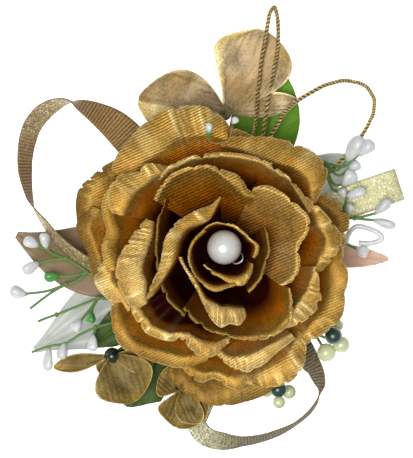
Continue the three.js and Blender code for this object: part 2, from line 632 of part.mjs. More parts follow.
const florets = [
  { name: 'floret_top', color: oliveGolden, azimuth: 92, hubShares: [0, 0.667, 0.38], petals: [
    { tipShares: [0.19, 1.075, 0.6], widthShare: 1, widestShare: 0.66, bowShare: -0.1, cupShare: 0.25,
      archShare: -0.05 },
    { tipShares: [-0.4225, 0.7255, 0.55], widthShare: 0.9, widestShare: 0.5, cupShare: 0.25,
      archShare: -0.05 },
    { tipShares: [0.3627, 0.735, 0.5], widthShare: 0.3, cupShare: 0.2, archShare: -0.05 },
    { tipShares: [-0.22, 0.5, 0.4], widthShare: 0.4, cupShare: 0.1, archShare: 0 },
  ], centreShare: 0.5 },
  { name: 'floret_left', color: oliveGolden, azimuth: 237, hubShares: [-0.553, -0.54, 0.42], petals: [
    { tipShares: [-0.42, -0.76, 0.46], widthShare: 0.6, cupShare: 0.35, archShare: -0.05 },
    { tipShares: [-0.35, -0.58, 0.5], widthShare: 0.3, cupShare: 0.2, archShare: 0 },
    { tipShares: [-0.59, -0.65, 0.42], widthShare: 0.3, cupShare: 0.2, archShare: 0 },
    { tipShares: [-0.845, -0.6, 0.3], widthShare: 0.22, cupShare: 0.2, archShare: 0 },
  ], centreShare: 0.7 },
  { name: 'floret_bottom', color: oliveGolden, azimuth: 241, hubShares: [-0.2, -0.7, 0.42], petals: [
    { tipShares: [-0.275, -0.885, 0.48], widthShare: 0.42, cupShare: 0.3, archShare: 0 },
    { tipShares: [-0.1, -0.895, 0.46], widthShare: 0.42, cupShare: 0.2, archShare: 0 },
  ] },
];
for (const { name, color, azimuth, hubShares, petals, centreShare } of florets) {
  const hub = sprayPoint(hubShares);
  const pieces = petals.map(({ tipShares, widthShare, ...shape }) => {
    const width = widthShare * floretPetalWidth;
    return blade({ root: hub, tip: sprayPoint(tipShares), width, widestShare: 0.62, ...shape },
      petalThickness, 2, floretPetalSteps);
  });
  const knob = new THREE.CylinderGeometry(floretHubRadius, floretHubRadius, petalThickness, 10);
  pieces.push(knob.rotateX(Math.PI / 2).translate(hub.x, hub.y, hub.z));
  addMesh(name, geometryOf(joined(pieces)), color, 0.45, 0.1);
  const under = hub.clone();
  under.z -= petalThickness / 2 + clearance;
  const start = butt(azimuth, stemLevel);
  const turn = under.clone().setZ(mix(start.z, under.z, stemRiseShare)).lerp(start, stemBendShare);
  const stem = tube([start, turn, under], stemDiameter, stemSides, stemSteps);
  addMesh(`${name}_stem`, stem, wireGreen, 0.6, 0);
  if (centreShare) {
    const diameter = centreShare * berryDiameter;
    hub.z += petalThickness / 2 + clearance + diameter / 2;
    addMesh(`${name}_centre`, berry(hub, diameter), beadGreen, 0.2, 0.1);
  }
}

// Metallic ribbon: a strip of even width whose tilt turns about its route. Each row of a route: x and y
// as shares of the spray's radius, height above the ribbon's seat as a share of its width, tilt in degrees.
const stepsPerRow = 1.5;

function ribbonSurface(routeShares) {
  const place = (row) => {
    const [xShare, yShare, zShare] = row;
    return new THREE.Vector3(xShare * sprayRadius, yShare * sprayRadius, ribbonLevel + zShare * ribbonWidth);
  };
  const path = new THREE.CatmullRomCurve3(routeShares.map(place));
  const last = routeShares.length - 1;
  return (u, v) => {
    const k = Math.min(Math.floor(u * last), last - 1);
    const tilt = mix(routeShares[k][3], routeShares[k + 1][3], u * last - k);
    const turn = THREE.MathUtils.degToRad(tilt);
    const heading = path.getTangent(u).setZ(0).normalize();
    const width = new THREE.Vector3(heading.y * Math.cos(turn), -heading.x * Math.cos(turn), Math.sin(turn));
    return path.getPoint(u).addScaledVector(width, (v - 0.5) * ribbonWidth);
  };
}

const ribbons = [
  { name: 'ribbon_loop_left', routeShares: [[-0.145, 0.17, 0, 0], [-0.3, 0.35, 0, 0], [-0.457, 0.52, 0, 0],
    [-0.54, 0.603, 0.05, -24], [-0.63, 0.665, 0.1, -49], [-0.715, 0.708, 0.15, -70],
    [-0.77, 0.725, 0.15, -92], [-0.84, 0.707, 0.15, -108], [-0.9, 0.668, 0.15, -116],
    [-0.952, 0.603, 0.15, -117], [-0.978, 0.527, 0.15, -115], [-0.99, 0.447, 0.15, -111],
    [-0.99, 0.377, 0.15, -109], [-0.98, 0.303, 0.15, -102], [-0.963, 0.235, 0.2, -95],
    [-0.937, 0.18, 0.3, -84], [-0.892, 0.12, 0.4, -77], [-0.828, 0.04, 0.48, -73],
    [-0.755, -0.028, 0.48, -69], [-0.667, -0.09, 0.36, -60], [-0.45, -0.06, 0, -10],
    [-0.232, -0.024, 0, 0]] },
  { name: 'ribbon_loop_bottom', routeShares: [[-0.045, -0.229, 0, 0], [-0.075, -0.5, 0, 0],
    [-0.115, -0.73, 0.15, -20], [-0.137, -0.88, 0, -55], [-0.09, -0.947, 0, -52], [0.002, -0.973, 0, -55],
    [0.09, -0.973, 0, -69], [0.188, -0.957, 0, -73], [0.277, -0.927, 0, -75], [0.358, -0.885, 0, -80],
    [0.427, -0.828, 0, -80], [0.463, -0.777, 0, -82], [0.48, -0.723, 0, -90], [0.48, -0.687, 0, -105],
    [0.47, -0.65, 0, -112], [0.457, -0.615, 0, -116], [0.438, -0.588, 0, -122], [0.28, -0.37, 0, -165],
    [0.143, -0.184, 0, -180]] },
  { name: 'ribbon_tail_right', routeShares: [[0.221, 0.076, 0, 0], [0.65, 0.233, 0.1, -8],
    [0.877, 0.312, 0.2, -16]] },
];
for (const { name, routeShares } of ribbons) {
  const steps = Math.ceil((routeShares.length - 1) * stepsPerRow);
  const strip = sheet(ribbonSurface(routeShares), steps, 1, ribbonThickness);
  addMesh(name, strip, golden, 0.35, 0.5);
}

// Loops of twisted metallic cord, from the glue bed and back to it: azimuths of the two ends in degrees,
// then the places between them in sixtieths of the spray's radius, radius and three times its rise
const cordSides = 8;
const cordUnitShare = 1 / 60;
const cordRiseShare = 3;
const cordLevel = stemLevel + clearance;
const cordLoops = [
  { name: 'cord_loop_tall', azimuths: [67.7, 78], routeShares: [[9, 25, 3.3], [11.5, 32.4, 3.9],
    [12.5, 38.5, 5.2], [13.5, 44.7, 6.5], [14.4, 50, 7.7], [15.3, 55, 8.7], [16, 59.4, 9.4],
    [16.2, 63.8, 9.9], [15.9, 68.2, 10.2], [15, 71.2, 10.2], [13.8, 69.7, 10.2], [12.9, 65.3, 10.1],
    [12.1, 60.3, 9.7], [11.2, 55, 9.1], [10.6, 49.7, 8.1], [10, 44.7, 6.9], [9.9, 40.3, 5.7],
    [9.4, 35.9, 4.5], [8.6, 32.4, 4.1], [6.3, 25, 3.5]] },
  { name: 'cord_loop_wide', azimuths: [59.8, 34.2], routeShares: [[11, 23.5, 3.7], [13.6, 32.2, 4.7],
    [15.9, 36.2, 5.1], [17.9, 39.7, 6.1], [20, 41.8, 6.9], [22.4, 43.8, 7.7], [25.9, 45.9, 8.5],
    [29.7, 47.9, 9.1], [32.6, 48.8, 9.4], [35.6, 49.4, 9.7], [38.2, 49.1, 9.9], [40.6, 48.5, 9.9],
    [42.5, 47.4, 9.9], [43.8, 45.6, 9.9], [44.7, 43.8, 9.7], [44.7, 41.8, 9.4], [44.4, 39.4, 8.9],
    [43.5, 37.4, 8.3], [41.8, 34.1, 7.3], [38.5, 29.7, 5.9], [35, 25.6, 5.1], [32.6, 23.2, 4.7],
    [30.3, 20.9, 4.4], [20, 14.5, 4]] },
];
for (const { name, azimuths, routeShares } of cordLoops) {
  const [from, to] = azimuths.map((azimuth) => butt(azimuth, cordLevel));
  const points = routeShares.map(([x, y, z]) => sprayPoint([x, y, z * cordRiseShare]
    .map((value) => value * cordUnitShare)));
  points.unshift(from);
  points.push(to);
  const steps = Math.round(points.length * stepsPerRow);
  addMesh(name, tube(points, cordDiameter, cordSides, steps), golden, 0.3, 0.8);
}

// Bud sprays and berries: green wires that branch at twisted knots, each ending in a bud or a berry.
// Every place is a row of shares of the spray's radius, radius and rise, but of the rose's radius, radius
// and height for the pair that lies on the rose.
const wireSides = 4;
const knotShare = 1.5;
const budSides = 5;

function wire(places, diameter) {
  return tube(places, diameter, wireSides, places.length - 1);
}

function knot(place, diameter) {
  return new THREE.IcosahedronGeometry(diameter / 2, 0).translate(place.x, place.y, place.z);
}

const budProfileShares = [[0, 0], [0.55, 0.2], [1, 0.72], [0.7, 0.94], [0, 1]];

function bud(start, tip, diameter) {
  const direction = tip.clone().sub(start).normalize();
  const root = start.clone().addScaledVector(direction, -budStemDiameter);
  const length = root.distanceTo(tip);
  const profile = budProfileShares.map(([r, h]) => new THREE.Vector2((r * diameter) / 2, h * length));
  const shape = new THREE.LatheGeometry(profile, budSides);
  const turn = new THREE.Quaternion().setFromUnitVectors(new THREE.Vector3(0, 1, 0), direction);
  return shape.applyQuaternion(turn).translate(root.x, root.y, root.z);
}

const sprays = [
  { name: 'bud_spray_left_upper', azimuth: 208, trunkShares: [[-0.467, -0.175, 0.22], [-0.6, -0.16, 0.32],
    [-0.681, -0.127, 0.35]], wireShares: [
    [[-0.681, -0.127, 0.35], [-0.725, -0.093, 0.37], [-0.784, -0.059, 0.4]],
    [[-0.784, -0.059, 0.4], [-0.86, -0.02, 0.46], [-0.922, 0.005, 0.5]],
    [[-0.784, -0.059, 0.4], [-0.853, -0.03, 0.5], [-0.877, 0.0, 0.56]],
    [[-0.784, -0.059, 0.4], [-0.86, -0.066, 0.4], [-0.922, -0.083, 0.42]],
    [[-0.681, -0.127, 0.35], [-0.74, -0.143, 0.36], [-0.824, -0.147, 0.37]],
    [[-0.681, -0.127, 0.35], [-0.73, -0.17, 0.3], [-0.784, -0.186, 0.3]],
    [[-0.784, -0.186, 0.3], [-0.877, -0.22, 0.33], [-0.995, -0.235, 0.36]],
    [[-0.784, -0.186, 0.3], [-0.868, -0.235, 0.26], [-0.966, -0.309, 0.24]],
  ], budShares: [
    [[-0.922, 0.005, 0.5], [-0.98, 0.034, 0.55], 1], [[-0.877, 0.0, 0.56], [-0.892, 0.064, 0.62], 0.9],
    [[-0.922, -0.083, 0.42], [-1, -0.123, 0.45], 1.1], [[-0.824, -0.147, 0.37], [-0.89, -0.15, 0.38], 1],
    [[-0.995, -0.235, 0.36], [-1.05, -0.222, 0.37], 1.1],
  ] },
  { name: 'bud_spray_left_middle', azimuth: 213, trunkShares: [[-0.45, -0.26, 0.22], [-0.623, -0.255, 0.3]],
    wireShares: [
      [[-0.623, -0.255, 0.3], [-0.735, -0.299, 0.3], [-0.833, -0.338, 0.3]],
      [[-0.833, -0.338, 0.3], [-0.88, -0.354, 0.3], [-0.926, -0.373, 0.31]],
      [[-0.623, -0.255, 0.3], [-0.65, -0.3, 0.36], [-0.657, -0.33, 0.42]],
      [[-0.623, -0.255, 0.3], [-0.68, -0.33, 0.34], [-0.712, -0.37, 0.38]],
    ], budShares: [
      [[-0.657, -0.33, 0.42], [-0.66, -0.37, 0.48], 0.9], [[-0.712, -0.37, 0.38], [-0.74, -0.41, 0.41], 0.9],
    ] },
  { name: 'bud_spray_left_lower', azimuth: 226, trunkShares: [[-0.5, -0.36, 0.3], [-0.637, -0.4, 0.38]],
    wireShares: [
      [[-0.637, -0.4, 0.38], [-0.72, -0.44, 0.36], [-0.789, -0.485, 0.34]],
      [[-0.789, -0.485, 0.34], [-0.868, -0.495, 0.33], [-0.956, -0.525, 0.33]],
      [[-0.637, -0.4, 0.38], [-0.643, -0.43, 0.42], [-0.647, -0.45, 0.46]],
    ], budShares: [
      [[-0.789, -0.485, 0.34], [-0.81, -0.56, 0.42], 1.3],
      [[-0.868, -0.505, 0.34], [-0.875, -0.62, 0.4], 1.2],
      [[-0.647, -0.44, 0.45], [-0.652, -0.52, 0.5], 1.2],
    ] },
  { name: 'bud_spray_right_upper', azimuth: 52, trunkShares: [[0.34, 0.36, 0.2], [0.5, 0.42, 0.3]],
    wireShares: [
      [[0.5, 0.42, 0.3], [0.56, 0.38, 0.38], [0.608, 0.426, 0.45]],
      [[0.5, 0.42, 0.3], [0.6, 0.4, 0.4], [0.667, 0.456, 0.5]],
      [[0.5, 0.42, 0.3], [0.57, 0.355, 0.34], [0.627, 0.387, 0.4]],
      [[0.5, 0.42, 0.3], [0.55, 0.31, 0.34], [0.592, 0.309, 0.4]],
      [[0.5, 0.42, 0.3], [0.54, 0.29, 0.33], [0.575, 0.268, 0.38]],
    ], budShares: [
      [[0.608, 0.426, 0.45], [0.685, 0.545, 0.6], 1.5], [[0.667, 0.456, 0.5], [0.74, 0.52, 0.6], 1.3],
      [[0.627, 0.387, 0.4], [0.676, 0.417, 0.46], 1.1], [[0.592, 0.309, 0.4], [0.65, 0.375, 0.5], 1.4],
      [[0.575, 0.268, 0.38], [0.61, 0.27, 0.42], 1.1],
    ] },
  { name: 'bud_spray_right_middle', azimuth: 0, trunkShares: [[0.5, 0.05, 0.2], [0.593, 0.14, 0.32]],
    wireShares: [
    [[0.593, 0.14, 0.32], [0.625, 0.142, 0.335], [0.652, 0.142, 0.35]],
    [[0.593, 0.14, 0.32], [0.6, 0.2, 0.36], [0.613, 0.25, 0.4]],
    [[0.593, 0.14, 0.32], [0.61, 0.165, 0.36], [0.618, 0.178, 0.4]],
    [[0.652, 0.142, 0.35], [0.7, 0.152, 0.36], [0.76, 0.168, 0.4]],
    [[0.652, 0.142, 0.35], [0.7, 0.136, 0.36], [0.745, 0.132, 0.38]],
  ], budShares: [
    [[0.613, 0.25, 0.4], [0.705, 0.28, 0.46], 1.1], [[0.618, 0.178, 0.4], [0.64, 0.21, 0.44], 1],
    [[0.755, 0.167, 0.4], [0.824, 0.23, 0.5], 1.2], [[0.745, 0.132, 0.38], [0.855, 0.102, 0.42], 1.1],
  ] },
  { name: 'bud_spray_right_lower', azimuth: -10, trunkShares: [[0.45, -0.03, 0.2], [0.608, 0.02, 0.28]],
    wireShares: [
      [[0.608, 0.02, 0.28], [0.64, 0.0, 0.3], [0.67, -0.014, 0.33]],
      [[0.608, 0.02, 0.28], [0.625, 0.07, 0.36], [0.66, 0.1, 0.4], [0.72, 0.09, 0.42], [0.775, 0.062, 0.42],
        [0.785, 0.04, 0.42], [0.73, 0.017, 0.4], [0.67, 0.02, 0.38]],
    ], budShares: [[[0.665, -0.012, 0.32], [0.72, -0.036, 0.36], 1.4]] },
  { name: 'bud_pair_top', azimuth: 84, onRose: true, trunkShares: [[0.053, 0.675, -0.127],
    [0.06, 0.81, -0.047], [0.063, 0.88, 0.05], [0.065, 0.925, 0.15], [0.065, 0.928, 0.28],
    [0.065, 0.92, 0.4]], wireShares: [[[0.065, 0.92, 0.4], [0.055, 0.855, 0.503], [0.03, 0.78, 0.513],
    [-0.04, 0.758, 0.483], [-0.105, 0.77, 0.483], [-0.11, 0.815, 0.527]]],
    budShares: [
      [[-0.11, 0.81, 0.52], [-0.11, 0.905, 0.58], 0.8], [[0.06, 0.915, 0.42], [0.093, 0.932, 0.517], 0.8],
    ] },
];

function sprayGeometry({ azimuth, onRose, trunkShares, wireShares, budShares }) {
  const at = onRose ? rosePoint : sprayPoint;
  const trunk = [butt(azimuth, stemLevel), ...trunkShares.map(at)];
  const pieces = [wire(trunk, stemDiameter)];
  const knots = new Map();
  for (const row of wireShares) {
    const places = row.map(at);
    pieces.push(wire(places, budStemDiameter));
    knots.set(places[0].toArray().join(), places[0]);
  }
  for (const place of knots.values()) pieces.push(knot(place, knotShare * stemDiameter));
  for (const [from, to, sizeShare] of budShares) {
    pieces.push(bud(at(from), at(to), sizeShare * budDiameter));
  }
  return geometryOf(joined(pieces));
}
for (const spray of sprays) addMesh(spray.name, sprayGeometry(spray), ivory, 0.4, 0);

// Berry clusters. Each hangs from a dark bead at the rose's edge, whose place is an azimuth in degrees and
// shares of the rose's radius and height. The wires' joint and the berries are placed from the bead's centre
// in shares of a berry's diameter, and each berry's size is the last share of its row.
const berryClusters = [
  { name: 'berries_right', azimuth: -33, trunkShares: [[0.38, -0.36, 0.2]],
    jointShares: [-1.037, 0.083, -1.387], berryShares: [[-0.344, -1.013, -1.002, 1.08],
      [0.498, -0.552, -0.848, 0.96], [0.29, 0.544, -1.002, 0.7]],
    bead: { name: 'bead_right', azimuth: -39, placeShares: [1.042, 0.207], sizeShare: 1 } },
  { name: 'berries_bottom', azimuth: -76, trunkShares: [[0.16, -0.5, 0.2]],
    jointShares: [-0.346, 0.54, -0.423], berryShares: [[0.058, -0.787, -0.654, 0.74],
      [0.635, -0.21, -0.923, 0.84], [-0.635, -0.152, -0.923, 0.76]],
    bead: { name: 'bead_bottom', azimuth: -69.1, placeShares: [1.135, 0.04], sizeShare: 0.94 } },
];
for (const { name, azimuth, trunkShares, jointShares, berryShares, bead } of berryClusters) {
  const [radiusShare, heightShare] = bead.placeShares;
  const beadPlace = polar(bead.azimuth, radiusShare * roseRadius, roseBase + heightShare * roseHeight);
  const fromBead = ([xShare, yShare, zShare]) => new THREE.Vector3(xShare, yShare, zShare)
    .multiplyScalar(berryDiameter).add(beadPlace);
  const joint = fromBead(jointShares);
  const trunk = [butt(azimuth, stemLevel), ...trunkShares.map(sprayPoint), joint];
  const pieces = [wire(trunk, stemDiameter), knot(joint, knotShare * stemDiameter)];
  for (const row of berryShares) {
    const place = fromBead(row);
    pieces.push(wire([joint, joint.clone().lerp(place, 0.5), place], budStemDiameter));
    pieces.push(berry(place, row[3] * berryDiameter));
  }
  addMesh(name, geometryOf(joined(pieces)), paleGreen, 0.3, 0);
  addMesh(bead.name, berry(beadPlace, bead.sizeShare * berryDiameter), beadGreen, 0.2, 0.1);
}

export default group;
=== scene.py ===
"""Wrist corsage: petals, leaves, ribbon, cords, buds, berries and band, made over the packed solids."""

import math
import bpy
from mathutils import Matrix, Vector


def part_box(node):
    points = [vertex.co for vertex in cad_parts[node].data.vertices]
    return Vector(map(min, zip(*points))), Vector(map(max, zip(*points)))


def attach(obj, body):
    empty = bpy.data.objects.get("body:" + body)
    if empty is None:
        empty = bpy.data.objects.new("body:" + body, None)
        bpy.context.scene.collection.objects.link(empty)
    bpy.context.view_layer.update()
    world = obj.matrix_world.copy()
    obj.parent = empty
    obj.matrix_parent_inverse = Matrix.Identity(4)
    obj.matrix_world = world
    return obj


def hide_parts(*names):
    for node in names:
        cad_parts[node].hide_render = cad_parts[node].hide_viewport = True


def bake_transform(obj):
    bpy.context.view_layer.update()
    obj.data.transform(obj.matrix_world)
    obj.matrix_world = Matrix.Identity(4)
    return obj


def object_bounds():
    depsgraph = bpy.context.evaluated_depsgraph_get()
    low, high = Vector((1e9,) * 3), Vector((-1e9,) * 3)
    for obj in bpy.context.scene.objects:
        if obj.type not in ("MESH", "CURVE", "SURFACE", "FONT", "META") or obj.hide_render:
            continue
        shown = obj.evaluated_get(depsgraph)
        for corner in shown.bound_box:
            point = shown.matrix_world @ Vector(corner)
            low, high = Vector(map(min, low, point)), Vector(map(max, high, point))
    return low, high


bl_info = {
    "name": "Wrist corsage",
    "version": (1, 0, 0),
    "blender": (4, 5, 0),
    "location": "3D View > Sidebar > Corsage",
    "description": "Makes a fabric rose corsage on an elastic wrist band, piece by piece",
    "category": "Object",
}

from functools import cached_property

import bmesh
import bpy
from bpy.props import FloatProperty, FloatVectorProperty, PointerProperty
from mathutils import Vector, noise

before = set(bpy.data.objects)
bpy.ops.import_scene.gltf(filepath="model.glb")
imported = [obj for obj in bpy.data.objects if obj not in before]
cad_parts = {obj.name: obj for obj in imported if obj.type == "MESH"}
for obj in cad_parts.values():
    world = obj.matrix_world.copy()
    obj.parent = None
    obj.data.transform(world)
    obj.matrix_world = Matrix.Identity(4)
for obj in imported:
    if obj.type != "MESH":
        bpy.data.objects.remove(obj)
CAD_BOX = [list(corner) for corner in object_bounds()]

# One millimetre in the frame's metres
MM = 0.001

# Sizes shared with the part's source, in millimetres
CLEARANCE = 0.3
PETAL = 0.6
LEAF = 0.6
RIBBON = 0.5
ORGANZA = 0.5
BAND_LOOP_WIDTH = 56
BAND_LOOP_DEPTH = 38
BAND_CORNER = 15
BAND_WIDTH = 20
BAND_THICKNESS = 1.2
PAD_RADIUS = 26
PAD_THICKNESS = 1.6
GLUE_RADIUS = 16
GLUE_HEIGHT = 3.2
GLUE_BOSS = 3.6
ROSE_RADIUS = 40
ROSE_HEIGHT = 30
SMALLEST_DISC = 3
PEARL = 10
THREAD = 0.6
SPRAY_RADIUS = 60
SPRAY_RISE = 20
FLORET_WIDTH = 24
HUB_RADIUS = 2.4
STEM = 1.0
BUD_STEM = 0.8
BUD = 2.6
BERRY = 5.2
CORD = 1.3
RIBBON_WIDTH = 10
ROSE_STEM_RADIUS = 1.6
SEAT_HEIGHT = 2.4
PEARL_LEVEL_SHARE = 0.68

PAD_BOTTOM = BAND_THICKNESS + CLEARANCE
PAD_TOP = PAD_BOTTOM + PAD_THICKNESS
GLUE_BOTTOM = PAD_TOP + CLEARANCE
GLUE_SHOULDER = GLUE_BOTTOM + GLUE_HEIGHT
ROSE_BASE = GLUE_SHOULDER + GLUE_BOSS + CLEARANCE
LAYER_STEP = PETAL + CLEARANCE
RIBBON_LEVEL = GLUE_SHOULDER + CLEARANCE + RIBBON / 2
LEAF_LEVEL = PAD_TOP + CLEARANCE + LEAF / 2
ORGANZA_LEVEL = PAD_TOP + CLEARANCE + ORGANZA / 2
STEM_LEVEL = GLUE_BOTTOM + GLUE_HEIGHT / 2
BUTT_RADIUS = GLUE_RADIUS + CLEARANCE

# Sizes that the scene alone uses, in millimetres; a name with SHARE is a share of the solid's own size
LEAF_CLOTH = 0.4
RIBBON_CLOTH = 0.4
ORGANZA_CLOTH = 0.2
# Length of cord over which its two strands turn half round, and its radius between them
CORD_PITCH = 1.4
CORD_GROOVE_SHARE = 0.72
THREAD_SHARE = 0.35
TOP_CENTRE_SHARE = 0.55
KNOT_SHARE = 0.75
WIRE_SHARE = 0.5
ROSE_WIRE_SHARE = 0.3
CURL_SHARE = 0.95
# How far up a bud its green root reaches, in fifths of its length
BUD_ROOT = 1.2
ROSE_BUD_ROOT = 3.0
BUD_ARCH = 0.3
BERRY_SAG = 0.4
# Depth and number of the small waves along the band's edges, which lie this far inside its width
PICOT = 0.15
PICOTS = 46
SELVEDGE_INSET = 0.2
PAD_ROUNDING = 0.35

# Columns and rows of the sheets' grids; a petal of the rose and a ribbon have their columns between two rows
# of their table
PETAL_GRID = (12, 40)
FLORET_GRID = (64, 40)
LEAF_GRID = (84, 24)
ORGANZA_GRID = (60, 36)
RIBBON_GRID = (8, 10)
BAND_GRID = (240, 16)

# The stage, in metres; STRETCH is how far the band's lower run comes down, and the floor lies below that
STRETCH = 0.022
FLOOR_GAP = 0.0005
FLOOR_REACH = 20
CAMERA_PLACE = (-0.00515, 0.00529)
CAMERA_LENS = 187
CAMERA_SENSOR = 36
KEY_PLACE = (-0.12, -0.12, 0.62)
KEY_AIM = (0, 0, 0.02)
KEY_SIZE = 0.45

